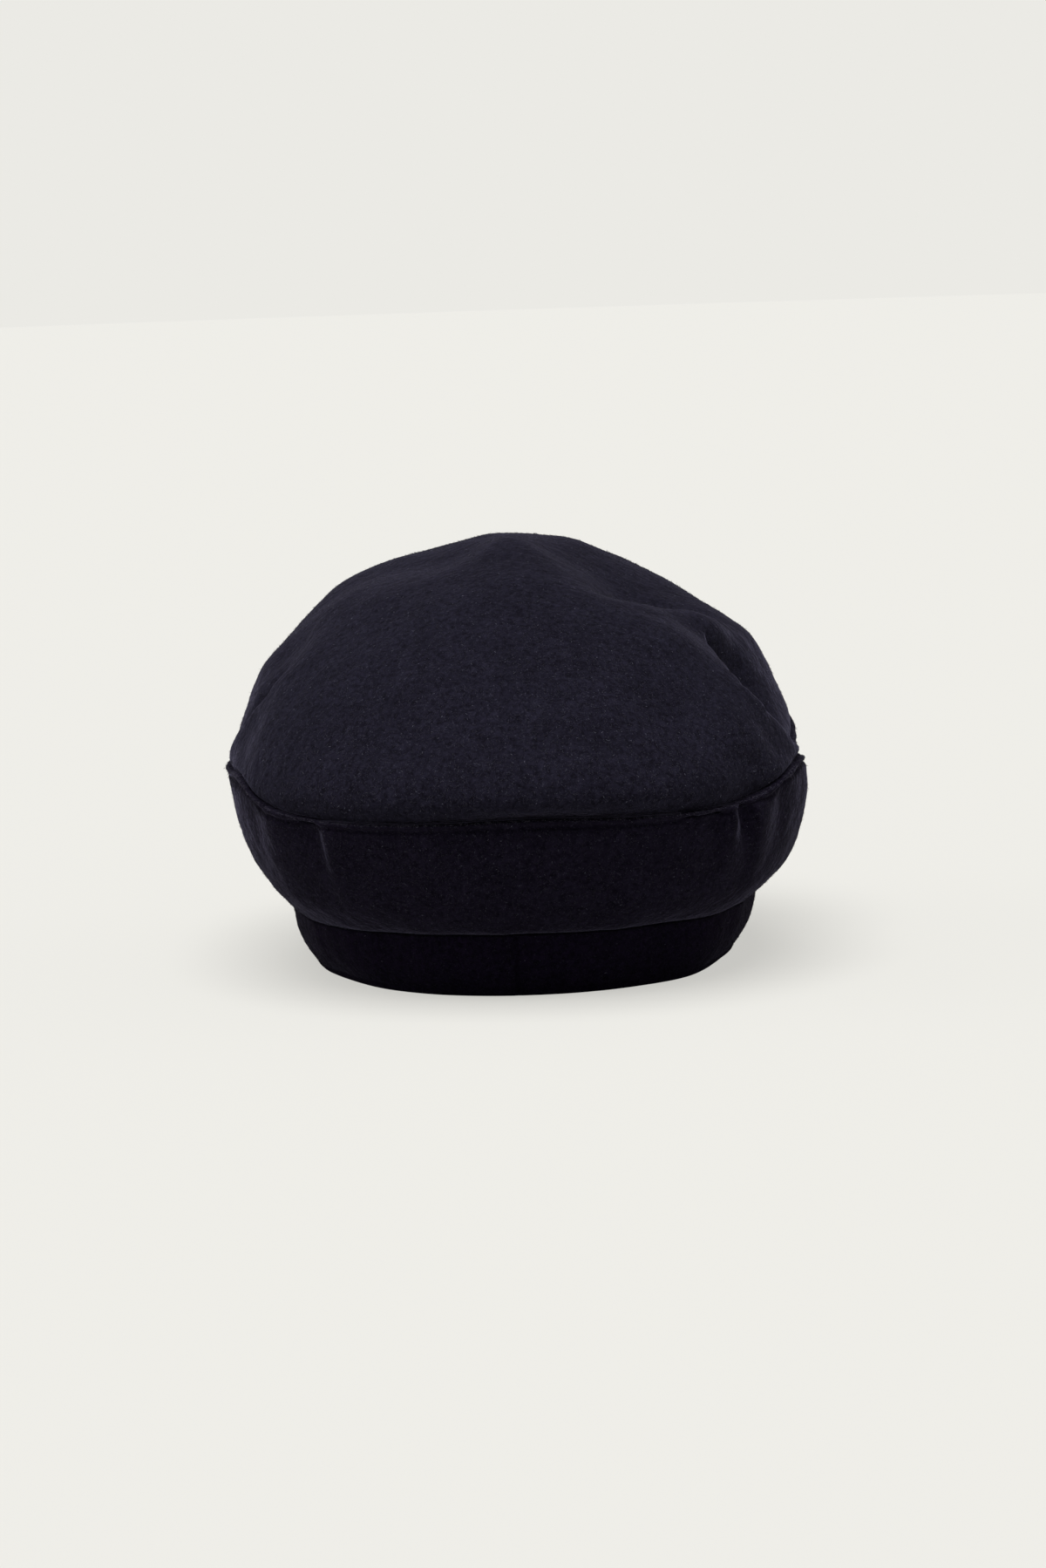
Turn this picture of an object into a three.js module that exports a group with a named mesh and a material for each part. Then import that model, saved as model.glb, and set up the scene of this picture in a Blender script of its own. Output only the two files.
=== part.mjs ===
// A soft baker boy cap of black felted wool, resting on a flat surface.
// Millimetres, +Z up, the wearer's front towards -Y. The origin is at the middle of the cap's footprint,
// on the surface it rests on.
//
// The cap is four sewn pieces: the crown's domed top, the ring of cloth below the top's seam,
// the headband, and the peak. Each seam turns its cloth inwards, and the turned edges of the two
// neighbours lie face to face.

import * as THREE from "three";
import { mergeVertices } from "three/addons/utils/BufferGeometryUtils.js";

// Cloth and seams
const CLOTH = 2.0; // one layer of felted wool
const SEAM_GAP = 0.3; // clearance between the faces of two sewn pieces
const SEAM_ALLOWANCE = 7.5; // how far a seam's edge is turned inwards
const BAND_THICKNESS = 4.5; // the headband is a folded double layer

// Headband
const BAND_FOOT = { halfWidth: 79.0, halfLength: 96.0, squareness: 2.1 }; // its lower edge, tucked in
const BAND_FRONT_LIFT = 14.0; // the lower edge rises this far at the front, above the peak
const BAND_LIFT_STARTS = 0.35; // cosine of the azimuth, from the back, where the rise starts
const BAND_TUCK = 0.75; // under 1 keeps the band upright and tucks it in near its lower edge
const BAND_STEPS = 4;

// Peak
const PEAK_HALF_ANGLE = 62.0; // its root follows the band this far to each side of the front
const PEAK_DEPTH = 48.0; // from the band's lower edge to the rim, at the front
const PEAK_HALF_WIDTH = 76.5;
const PEAK_SQUARENESS = 2.35; // of the rim's outline seen from above
const PEAK_THICKNESS = 4.0; // stiff board between two layers of wool
const PEAK_ROOT_WIDTH = 4.0; // the strip that is sewn under the band
const PEAK_RIM_ARCH = 5.0; // the rim's middle stands this high, its shoulders touch the surface
const PEAK_CROWN = 3.0; // how far its upper side bulges between root and rim
const PEAK_STEPS = 6;

// Sections through the crown, measured on its outer face. Each is a level loop of this half width and
// half length whose height changes from the back over the sides to the front.
const SECTION = ["halfWidth", "halfLength", "centreX", "centreY", "zBack", "zSide", "zFront", "squareness"];
const RING_SECTIONS = table(SECTION, [
  [90.0, 106.0, 0.0, 0.0, 24.5, 25.0, 38.5, 2.15], // sewn to the headband
  [95.0, 112.0, -0.3, 0.5, 28.0, 30.0, 45.0, 2.18],
  [102.5, 119.0, -0.3, 0.5, 35.5, 39.5, 55.5, 2.25],
  [108.0, 123.5, 0.0, 0.5, 48.0, 54.0, 70.0, 2.32],
  [110.5, 126.0, 0.3, 0.5, 60.0, 68.0, 85.0, 2.42],
  [110.5, 126.5, 0.5, 0.5, 69.0, 79.4, 98.0, 2.55], // the crown seam
]);
const TOP_SECTIONS = table(SECTION, [
  [110.5, 126.5, 0.5, 0.5, 69.0, 79.4, 98.0, 2.55], // the crown seam
  [108.0, 127.6, 0.8, 0.5, 75.8, 88.3, 108.0, 2.45],
  [102.0, 123.5, 1.0, -0.5, 90.5, 101.5, 122.5, 2.35],
  [93.0, 112.0, 1.0, -3.0, 107.0, 115.5, 136.0, 2.25],
  [77.5, 94.0, 1.5, -7.5, 124.5, 128.5, 147.5, 2.15],
  [54.0, 69.0, 2.0, -11.5, 141.0, 140.5, 156.0, 2.05],
  [26.0, 36.5, 0.5, -15.0, 153.5, 151.5, 159.5, 2.0],
  [0.0, 0.0, 0.0, -16.0, 159.5, 159.5, 159.5, 2.0], // the apex
]);

// Soft lobes (push over 0) and hollows (push under 0) of the slumped crown. The azimuth runs from the
// back, 0, over the wearer's left, 90, and the level counts the rows of TOP_SECTIONS from 0 at the seam.
const DENTS = table(["azimuth", "level", "radius", "push"], [
  [80, 4.8, 20, 5.0], // left shoulder
  [84, 3.6, 13, -3.5], // hollow under it
  [95, 2.6, 13, 3.0], // left lobe
  [95, 1.8, 9, -2.0], // left flank
  [100, 6.0, 18, -2.5], // hollow beside the apex
  [10, 6.7, 12, 2.5], // knob at the apex
  [270, 5.1, 26, -6.0], // right shoulder
  [270, 2.0, 20, -4.5], // right flank
  [262, 3.4, 16, 1.5], // lobe beyond the deep fold
  [130, 4.2, 15, 2.6], // front of the left shoulder
  [152, 5.3, 12, -1.5], // hollow before the apex
  [229, 3.7, 24, -2.4], // front of the right shoulder
]);

// Folds of the crown's top. Each row is a point of the fold's crest, from its lower end up. The cloth
// rises to the crest by its ridge, and beyond the crest it drops into a valley that is deepest one width
// further on. A level under 0 is on the ring.
const FOLD_COLUMNS = ["azimuth", "level", "depth", "width", "ridge"];
const FOLDS = [
  {
    // The deep fold on the right. Its valley lies in front of the crest, and its crest is sharp.
    beyond: 1,
    sharp: true,
    crest: table(FOLD_COLUMNS, [
      [289, -0.3, 1.5, 10, 0.5],
      [291, 0.6, 8.0, 12, 1.0],
      [295.5, 1.7, 13.0, 14, 1.5],
      [299.5, 2.7, 15.0, 16, 1.6],
      [300.5, 3.4, 12.0, 16, 1.4],
      [298, 3.95, 5.0, 13, 0.9],
      [293, 4.4, 0.0, 12, 0.0],
    ]),
  },
  {
    // A slight fold on the left.
    beyond: -1,
    sharp: true,
    crest: table(FOLD_COLUMNS, [
      [86, 0.3, 0.5, 8, 0.2],
      [80, 1.3, 3.0, 10, 0.7],
      [74, 2.2, 3.5, 11, 0.7],
      [71, 3.0, 1.5, 10, 0.3],
      [70, 3.8, 0.0, 10, 0.0],
    ]),
  },
  {
    // A soft fold that runs from near the apex into the deep one.
    beyond: 1,
    sharp: false,
    crest: table(FOLD_COLUMNS, [
      [338, 5.6, 0.0, 16, 0.3],
      [322, 5.3, 1.5, 16, 1.0],
      [309, 4.85, 3.0, 18, 1.5],
      [294, 4.5, 3.0, 18, 1.5],
      [279, 4.2, 0.5, 16, 0.8],
    ]),
  },
];
const SHARP_RIDGE_SPREAD = 7.0; // how wide a ridge is on the near side of its crest
const SOFT_RIDGE_SPREAD = 10.0;
const CREST_DROP = 2.45; // a sharp ridge is this many times narrower beyond its crest
const FOLD_END_FADE = 8.0; // how soon a fold dies away past its ends
const FOLD_CORNER_BLEND = 5.0; // how softly one stretch of a crest turns into the next

// Gathers of the ring just under the crown seam, where more cloth was eased into the seam. The reach, in
// levels, says how far below the seam a gather is deepest. The spread is in degrees.
const GATHERS = table(["azimuth", "push", "spread", "reach"], [
  [33.0, 1.5, 1.9, 0.8],
  [36.8, -2.4, 2.2, 0.55],
  [46.5, 1.3, 2.8, 0.6],
  [55.0, -1.2, 3.0, 0.6],
  [306.0, -1.6, 2.8, 0.6],
  [314.0, 1.8, 1.6, 0.5],
  [318.2, -2.4, 1.5, 0.4],
  [321.8, 1.8, 1.3, 0.4],
  [324.6, -2.0, 1.6, 0.45],
  [328.4, -1.6, 1.6, 0.4],
]);

// How finely the cloth is divided. Close stations follow the folds and the gathers, and the peak's root
// takes the stretch round the front.
const STATIONS = table(["from", "to", "steps"], [
  [0, 28, 4],
  [28, 58, 12],
  [58, 94, 8],
  [94, 180 - PEAK_HALF_ANGLE, 4],
  [180 - PEAK_HALF_ANGLE, 180 + PEAK_HALF_ANGLE, 20],
  [180 + PEAK_HALF_ANGLE, 262, 3],
  [262, 334, 30],
  [334, 360, 4],
]);
const RING_LEVELS = [0, 0.5, 1.2, 2, 2.8, 3.6, 4.2, 4.6, 5];
const TOP_LEVELS = [0, 0.3, 0.8, 1.3, 1.8, 2.3, 2.8, 3.3, 3.8, 4.3, 4.8, 5.4, 6.0, 6.5];
const RING_INNER_LEVELS = [4.6, 4.2, 3.6, 2.8, 2, 1.2, 0.5]; // the inner face starts clear of both flanges
const TOP_INNER_LEVELS = TOP_LEVELS.slice(1);
const APEX_LEVEL = TOP_SECTIONS.length - 1;
const SEAM_LEVEL = RING_SECTIONS.length - 1;

const CROWN_MIDDLE = new THREE.Vector3(0, -5, 63); // dents, folds and gathers push away from here
const SLOPE_STEP = 0.01; // small step, in levels or radians, that slopes are measured over
const SAME_POINT = 1e-4; // points closer than this are one

// The footprint runs from the rim of the peak to the crown's rearmost bulge, and from its slumped right
// side to its fuller left side. Its middle is the origin.
const REARMOST = 128.5;
const RIGHTMOST = 109.1;
const LEFTMOST = 111.0;
const RIM_FRONT = BAND_FOOT.halfLength + PEAK_DEPTH;
const FRAME_SHIFT_X = (RIGHTMOST - LEFTMOST) / 2;
const FRAME_SHIFT_Y = (RIM_FRONT - REARMOST) / 2;

const UP = new THREE.Vector3(0, 0, 1);

// Black wool with a faint violet cast, a little lighter where its nap catches the light.
const TOP_WOOL = 0x1f1d26;
const SIDE_WOOL = 0x17151d;
const BAND_WOOL = 0x121018;
const PEAK_WOOL = 0x1a1820;
const WOOL_ROUGHNESS = 0.95;

function table(columns, rows) {
  return rows.map((row) => Object.fromEntries(columns.map((name, i) => [name, row[i]])));
}

function radians(degrees) {
  return THREE.MathUtils.degToRad(degrees);
}

function smooth(t) {
  const s = THREE.MathUtils.clamp(t, 0, 1);
  return s * s * (3 - 2 * s);
}

// The section at any level, by a Catmull-Rom curve through the rows of the table.
function sectionAt(rows, level) {
  const last = rows.length - 1;
  const i = Math.min(Math.floor(level), last - 1);
  const t = level - i;
  const section = {};
  for (const name of SECTION) {
    const p1 = rows[i][name];
    const p2 = rows[i + 1][name];
    const p0 = i > 0 ? rows[i - 1][name] : 2 * p1 - p2;
    const p3 = i + 2 <= last ? rows[i + 2][name] : 2 * p2 - p1;
    const bend = (2 * p0 - 5 * p1 + 4 * p2 - p3) * t * t;
    const twist = (3 * p1 - p0 - 3 * p2 + p3) * t * t * t;
    section[name] = (2 * p1 + (p2 - p0) * t + bend + twist) / 2;
  }
  return section;
}

// Distance from the centre to a superellipse.
function reach(halfWidth, halfLength, squareness, azimuth) {
  const across = Math.abs(Math.sin(azimuth) / halfWidth) ** squareness;
  const along = Math.abs(Math.cos(azimuth) / halfLength) ** squareness;
  return (across + along) ** (-1 / squareness);
}

function sectionPoint(section, azimuth) {
  const s = Math.sin(azimuth);
  const c = Math.cos(azimuth);
  const { halfWidth, halfLength, squareness, zBack, zSide, zFront } = section;
  const r = halfWidth > 0 ? reach(halfWidth, halfLength, squareness, azimuth) : 0;
  const z = zSide + ((zBack - zFront) / 2) * c + ((zBack + zFront) / 2 - zSide) * c * c;
  return new THREE.Vector3(section.centreX + r * s, section.centreY + r * c, z);
}

const dentCentres = DENTS.map((d) => sectionPoint(sectionAt(TOP_SECTIONS, d.level), radians(d.azimuth)));
const foldStretches = FOLDS.map((fold) => stretchesOf(fold));

function dentPush(point) {
  let push = 0;
  DENTS.forEach((dent, i) => {
    push += dent.push * Math.exp(-point.distanceToSquared(dentCentres[i]) / (2 * dent.radius ** 2));
  });
  return push;
}

function crestPoint({ azimuth, level }) {
  const section = level < 0
    ? sectionAt(RING_SECTIONS, SEAM_LEVEL + level)
    : sectionAt(TOP_SECTIONS, level);
  return sectionPoint(section, radians(azimuth));
}

// The straight stretches between the points of a fold's crest.
function stretchesOf(fold) {
  const points = fold.crest.map(crestPoint);
  return points.slice(1).map((end, i) => {
    const line = new THREE.Line3(points[i], end);
    const along = end.clone().sub(points[i]);
    return { line, along: along.clone().normalize(), length: along.length(), index: i };
  });
}

// How far one stretch of a crest moves a point, and how far away the stretch is.
function stretchPush(point, fold, stretch) {
  const { line, along, length, index } = stretch;
  const run = point.clone().sub(line.start).dot(along) / length;
  const t = THREE.MathUtils.clamp(run, 0, 1);
  const foot = line.at(t, new THREE.Vector3());
  const away = point.clone().sub(foot);
  const outward = foot.clone().sub(CROWN_MIDDLE);
  const across = along.clone().cross(outward).normalize().multiplyScalar(fold.beyond);
  const side = across.dot(away);
  const from = fold.crest[index];
  const to = fold.crest[index + 1];
  const depth = THREE.MathUtils.lerp(from.depth, to.depth, t);
  const width = THREE.MathUtils.lerp(from.width, to.width, t);
  const ridge = THREE.MathUtils.lerp(from.ridge, to.ridge, t);
  const x = Math.max(side, 0) / width;
  const valley = fold.sharp ? x * Math.exp((1 - x * x) / 2) : x * x * Math.exp(1 - x * x);
  const spread = fold.sharp ? SHARP_RIDGE_SPREAD : SOFT_RIDGE_SPREAD;
  const narrower = fold.sharp && side > 0 ? CREST_DROP : 1;
  const rise = ridge * Math.exp(-((side * narrower) ** 2) / (2 * spread ** 2));
  const isEnd = (run < 0 && index === 0) || (run > 1 && index === fold.crest.length - 2);
  const past = isEnd ? Math.abs(run - t) * length : 0;
  const fade = Math.exp(-((past / FOLD_END_FADE) ** 2));
  return { push: (rise - depth * valley) * fade, distance: away.length() };
}

// The stretches of one crest are blended where they meet, the nearest one counting most.
function foldPush(point, fold, stretches) {
  const parts = stretches.map((stretch) => stretchPush(point, fold, stretch));
  const nearest = Math.min(...parts.map((part) => part.distance));
  let sum = 0;
  let weights = 0;
  for (const { push, distance } of parts) {
    const weight = Math.exp(-(distance ** 2 - nearest ** 2) / (2 * FOLD_CORNER_BLEND ** 2));
    sum += push * weight;
    weights += weight;
  }
  return sum / weights;
}

function foldsPush(point) {
  return FOLDS.reduce((sum, fold, i) => sum + foldPush(point, fold, foldStretches[i]), 0);
}

// A gather starts at the seam, is deepest a little below it and fades down the ring.
function gatherPush(azimuth, level) {
  let push = 0;
  for (const gather of GATHERS) {
    const below = (SEAM_LEVEL - level) / gather.reach;
    const turn = THREE.MathUtils.euclideanModulo(azimuth - radians(gather.azimuth) + Math.PI, 2 * Math.PI);
    const off = (turn - Math.PI) / radians(gather.spread);
    push += gather.push * Math.exp(-off * off / 2) * below * Math.exp(1 - below);
  }
  return push;
}

function pushed(point, push) {
  const outward = point.clone().sub(CROWN_MIDDLE).normalize();
  return point.addScaledVector(outward, push);
}

function topPoint(azimuth, level) {
  const point = sectionPoint(sectionAt(TOP_SECTIONS, level), azimuth);
  return pushed(point, dentPush(point) + foldsPush(point));
}

function ringPoint(azimuth, level) {
  const point = sectionPoint(sectionAt(RING_SECTIONS, level), azimuth);
  return pushed(point, dentPush(point) + foldsPush(point) + gatherPush(azimuth, level));
}

// The band's outer face: up is 0 at its lower edge and 1 at the seam with the ring.
function bandPoint(azimuth, up) {
  const c = Math.cos(azimuth);
  const r = reach(BAND_FOOT.halfWidth, BAND_FOOT.halfLength, BAND_FOOT.squareness, azimuth);
  const lift = BAND_FRONT_LIFT * smooth((BAND_LIFT_STARTS - c) / (1 + BAND_LIFT_STARTS));
  const foot = new THREE.Vector3(r * Math.sin(azimuth), r * c, lift);
  const head = sectionPoint(RING_SECTIONS[0], azimuth);
  const out = Math.sin((up * Math.PI) / 2) ** BAND_TUCK;
  const point = foot.clone().lerp(head, out);
  point.z = THREE.MathUtils.lerp(foot.z, head.z, up);
  return point;
}

// The level direction that points into the cap, square to a loop of the given surface.
function inward(surface, azimuth, level) {
  const ahead = surface(azimuth + SLOPE_STEP, level);
  const behind = surface(azimuth - SLOPE_STEP, level);
  const along = ahead.sub(behind).setZ(0).normalize();
  return along.cross(UP);
}

// A point of the inner face, one cloth thickness below a point of the outer face.
function innerPoint(surface, azimuth, level) {
  const along = surface(azimuth + SLOPE_STEP, level).sub(surface(azimuth - SLOPE_STEP, level));
  const up = surface(azimuth, level + SLOPE_STEP).sub(surface(azimuth, level - SLOPE_STEP));
  const normal = up.cross(along).normalize();
  return surface(azimuth, level).addScaledVector(normal, -CLOTH);
}

// A point beside the edge of a surface: so far inwards and so far up from it.
function beside(surface, azimuth, level, inwards, up) {
  const point = surface(azimuth, level).addScaledVector(inward(surface, azimuth, level), inwards);
  point.z += up;
  return point;
}

function azimuths() {
  const list = [];
  for (const { from, to, steps } of STATIONS) {
    for (let i = 0; i < steps; i += 1) {
      list.push(radians(from + ((to - from) * i) / steps));
    }
  }
  return list;
}

// Joins closed profiles, one per station, into one skin. The stations go all the way round, or else the
// first and the last profile are filled in. Profiles may share a point, such as an apex.
function skin(profiles, { closedLoop }) {
  const size = profiles[0].length;
  const positions = profiles.flat().flatMap((p) => [p.x, p.y, p.z]);
  const index = [];
  const stations = closedLoop ? profiles.length : profiles.length - 1;
  for (let i = 0; i < stations; i += 1) {
    const next = (i + 1) % profiles.length;
    for (let k = 0; k < size; k += 1) {
      const above = (k + 1) % size;
      const a = i * size + k;
      const b = next * size + k;
      const c = next * size + above;
      const d = i * size + above;
      index.push(a, c, b, a, d, c);
    }
  }
  if (!closedLoop) {
    const far = (profiles.length - 1) * size;
    for (let k = 1; k + 1 < size; k += 1) {
      index.push(0, k + 1, k);
      index.push(far, far + k, far + k + 1);
    }
  }
  const geometry = new THREE.BufferGeometry();
  geometry.setAttribute("position", new THREE.Float32BufferAttribute(positions, 3));
  geometry.setIndex(index);
  return dropEmptyFaces(mergeVertices(geometry, SAME_POINT));
}

// Merging the points at a pole leaves faces with two equal corners, which go.
function dropEmptyFaces(geometry) {
  const old = Array.from(geometry.getIndex().array);
  const kept = [];
  for (let i = 0; i < old.length; i += 3) {
    const [a, b, c] = old.slice(i, i + 3);
    if (a !== b && b !== c && c !== a) {
      kept.push(a, b, c);
    }
  }
  geometry.setIndex(kept);
  return geometry;
}

function wool(color) {
  return new THREE.MeshStandardMaterial({ color, roughness: WOOL_ROUGHNESS, metalness: 0 });
}

function piece(name, geometry, material) {
  geometry.computeVertexNormals();
  const mesh = new THREE.Mesh(geometry, material);
  mesh.name = name;
  return mesh;
}

// The dome: its outer face from the seam to the apex, its inner face back down, and the edge that is
// turned in under it.
function makeCrownTop() {
  const gap = SEAM_GAP / 2;
  const profiles = azimuths().map((azimuth) => {
    const outer = TOP_LEVELS.map((level) => topPoint(azimuth, level));
    outer[0].z += gap;
    const inner = TOP_INNER_LEVELS.map((level) => innerPoint(topPoint, azimuth, level)).reverse();
    const apex = topPoint(0, APEX_LEVEL);
    const flange = [
      beside(topPoint, azimuth, 0, CLOTH, gap + CLOTH),
      beside(topPoint, azimuth, 0, SEAM_ALLOWANCE, gap + CLOTH),
      beside(topPoint, azimuth, 0, SEAM_ALLOWANCE, gap),
    ];
    const innerApex = apex.clone().addScaledVector(UP, -CLOTH);
    return [...outer, apex, innerApex, ...inner, ...flange];
  });
  return piece("crown_top", skin(profiles, { closedLoop: true }), wool(TOP_WOOL));
}

// The ring: a soft wall that bulges out from the band, with an edge turned in at the top and bottom.
function makeCrownSide() {
  const gap = SEAM_GAP / 2;
  const profiles = azimuths().map((azimuth) => {
    const outer = RING_LEVELS.map((level) => ringPoint(azimuth, level));
    outer[0].z += gap;
    outer[outer.length - 1].z -= gap;
    const topFlange = [
      beside(ringPoint, azimuth, SEAM_LEVEL, SEAM_ALLOWANCE, -gap),
      beside(ringPoint, azimuth, SEAM_LEVEL, SEAM_ALLOWANCE, -gap - CLOTH),
      beside(ringPoint, azimuth, SEAM_LEVEL, CLOTH, -gap - CLOTH),
    ];
    const inner = RING_INNER_LEVELS.map((level) => innerPoint(ringPoint, azimuth, level));
    const bottomFlange = [
      beside(ringPoint, azimuth, 0, CLOTH, gap + CLOTH),
      beside(ringPoint, azimuth, 0, SEAM_ALLOWANCE, gap + CLOTH),
      beside(ringPoint, azimuth, 0, SEAM_ALLOWANCE, gap),
    ];
    return [...outer, ...topFlange, ...inner, ...bottomFlange];
  });
  const geometry = skin(profiles, { closedLoop: true });
  return piece("crown_side", geometry, wool(SIDE_WOOL));
}

// The headband: a firm folded strip whose lower edge tucks in and rises at the front.
function makeHeadband() {
  const gap = SEAM_GAP / 2;
  const ups = Array.from({ length: BAND_STEPS + 1 }, (_, i) => i / BAND_STEPS);
  const profiles = azimuths().map((azimuth) => {
    const outer = ups.map((up) => bandPoint(azimuth, up));
    outer[BAND_STEPS].z -= gap;
    const inner = ups.map((up) => beside(bandPoint, azimuth, up, BAND_THICKNESS, 0));
    inner[BAND_STEPS].z -= gap;
    return [...outer, ...inner.reverse()];
  });
  const geometry = skin(profiles, { closedLoop: true });
  return piece("headband", geometry, wool(BAND_WOOL));
}

// The rim of the peak: turn is -90 degrees at one horn, 0 at the front and 90 at the other horn.
function rimPoint(turn) {
  const horn = bandPoint(radians(180 - PEAK_HALF_ANGLE), 0);
  const side = Math.sign(Math.sin(turn)) * Math.abs(Math.sin(turn)) ** (2 / PEAK_SQUARENESS);
  const forward = Math.abs(Math.cos(turn)) ** (2 / PEAK_SQUARENESS);
  const y = THREE.MathUtils.lerp(horn.y, -RIM_FRONT, forward);
  return new THREE.Vector3(-PEAK_HALF_WIDTH * side, y, PEAK_RIM_ARCH * Math.cos(2 * turn) ** 2);
}

// The peak: a stiff crescent, sewn under the band's raised front and sloping down to its rim.
function makePeak() {
  const profiles = azimuths()
    .filter((azimuth) => Math.abs(azimuth - Math.PI) <= radians(PEAK_HALF_ANGLE) + SAME_POINT)
    .map((azimuth) => {
      const turn = ((azimuth - Math.PI) / radians(PEAK_HALF_ANGLE)) * (Math.PI / 2);
      const root = bandPoint(azimuth, 0);
      root.z -= SEAM_GAP + PEAK_THICKNESS;
      const rootEdge = beside(bandPoint, azimuth, 0, PEAK_ROOT_WIDTH, -SEAM_GAP - PEAK_THICKNESS);
      const rim = rimPoint(turn);
      const under = [];
      for (let i = 0; i <= PEAK_STEPS; i += 1) {
        const t = i / PEAK_STEPS;
        const point = root.clone().lerp(rim, t);
        point.z += PEAK_CROWN * Math.cos(turn) * Math.sin(Math.PI * t);
        under.push(point);
      }
      const over = under.map((p) => p.clone().addScaledVector(UP, PEAK_THICKNESS)).reverse();
      const rootTop = rootEdge.clone().addScaledVector(UP, PEAK_THICKNESS);
      return [rootEdge, ...under, ...over, rootTop];
    });
  const geometry = skin(profiles, { closedLoop: false });
  return piece("peak", geometry, wool(PEAK_WOOL));
}

const cap = new THREE.Group();
cap.add(makeCrownTop(), makeCrownSide(), makeHeadband(), makePeak());
cap.position.set(FRAME_SHIFT_X, FRAME_SHIFT_Y, 0);

const assembly = new THREE.Group();
assembly.add(cap);
export default assembly;
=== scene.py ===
# %% [markdown]
# # A baker boy cap of black felted wool
#
# The real cap is sewn from four pieces of thick felted wool: a round top, a ring of cloth under it,
# a folded headband, and a stiff peak. The top has far more cloth than the head needs, so it slumps
# into soft lobes and one deep fold. In this lesson each piece starts as a Blender primitive that
# stands for the flat pattern of the piece, its edges are turned in as a sewer turns them in, and
# then it is draped: a function says where every point of the pattern lies on the finished cap.
#
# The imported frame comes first. It holds the plain solids of the same four pieces at their real size,
# and everything here is fitted to it.

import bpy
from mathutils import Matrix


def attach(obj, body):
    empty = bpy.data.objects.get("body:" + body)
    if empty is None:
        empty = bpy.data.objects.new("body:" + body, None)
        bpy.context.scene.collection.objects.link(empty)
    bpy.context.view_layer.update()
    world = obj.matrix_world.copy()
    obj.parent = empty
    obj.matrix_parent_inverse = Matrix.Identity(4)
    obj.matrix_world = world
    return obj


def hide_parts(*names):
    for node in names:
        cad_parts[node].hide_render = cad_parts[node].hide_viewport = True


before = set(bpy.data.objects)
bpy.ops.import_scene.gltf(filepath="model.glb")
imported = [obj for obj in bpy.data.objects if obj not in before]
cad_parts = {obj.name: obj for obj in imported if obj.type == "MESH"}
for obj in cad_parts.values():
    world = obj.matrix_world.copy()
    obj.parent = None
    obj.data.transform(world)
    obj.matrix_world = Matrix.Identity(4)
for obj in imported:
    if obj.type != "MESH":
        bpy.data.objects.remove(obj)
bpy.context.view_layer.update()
print("pieces in the frame:", sorted(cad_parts))

# %% [markdown]
# Sewing sizes are easiest to think of in millimetres, and Blender works in metres, so one named
# factor turns the first into the second. The cap's axes are the frame's: +Z is up and the wearer's
# front is towards -Y. The crown was first drawn round its own middle. The frame has its origin at the
# middle of the cap's footprint instead, so every draped point is moved by the same small step.

# %% Units and the cap's own middle
import math

import bpy
import numpy as np
from mathutils import Matrix, Vector

MM = 0.001
FRAME_SHIFT = np.array([-0.95, 7.75, 0.0])  # millimetres
UP = np.array([0.0, 0.0, 1.0])
TINY = 1e-6  # less than this counts as nothing


def to_metres(points):
    """Points drawn round the crown's middle, in millimetres, moved into the frame, in metres."""
    return (points + FRAME_SHIFT) * MM


print("one millimetre is", MM, "m, and the crown is moved by", FRAME_SHIFT, "mm")

# %% [markdown]
# The camera comes before the pieces, because it decides what has to look right. The photograph was
# taken from straight behind the cap with a long lens, a little above it, and the cap stands turned by
# almost two degrees in the picture. A 100 mm lens at about 1.7 m gives the same flat perspective.

# %% Camera
CAMERA_AIM = Vector((-1.95, 7.75, 65.4)) * MM
CAMERA_DISTANCE = 1.696
CAMERA_RAISED = math.radians(8.0)
CAMERA_ROLL = math.radians(1.9)  # the picture's right side goes up
CAMERA_LENS = 100.0

bpy.ops.object.select_all(action="DESELECT")
towards_camera = Vector((0, math.cos(CAMERA_RAISED), math.sin(CAMERA_RAISED)))
facing = (-towards_camera).to_track_quat("-Z", "Y").to_matrix()
bpy.ops.object.camera_add(location=CAMERA_AIM + towards_camera * CAMERA_DISTANCE)
camera = bpy.context.object
camera.name = "photo_camera"
camera.rotation_euler = (facing @ Matrix.Rotation(-CAMERA_ROLL, 3, "Z")).to_euler()
camera.data.lens = CAMERA_LENS
camera.data.dof.use_dof = False
bpy.context.scene.camera = camera
print("camera at", tuple(round(v, 3) for v in camera.location))

# %% [markdown]
# ## The shape of the slumped crown
#
# A cap like this has no straight line that could be modelled with a few cuts. What it does have is a
# stack of level loops, as on a ship's plan. Each row below is one loop: how wide and how long it is,
# where its middle lies, how high it runs at the back, the sides and the front, and how square its
# corners are. A smooth curve through the rows gives the loops in between.
#
# An azimuth counts from the back of the cap over the wearer's left. A level counts the rows.

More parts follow.
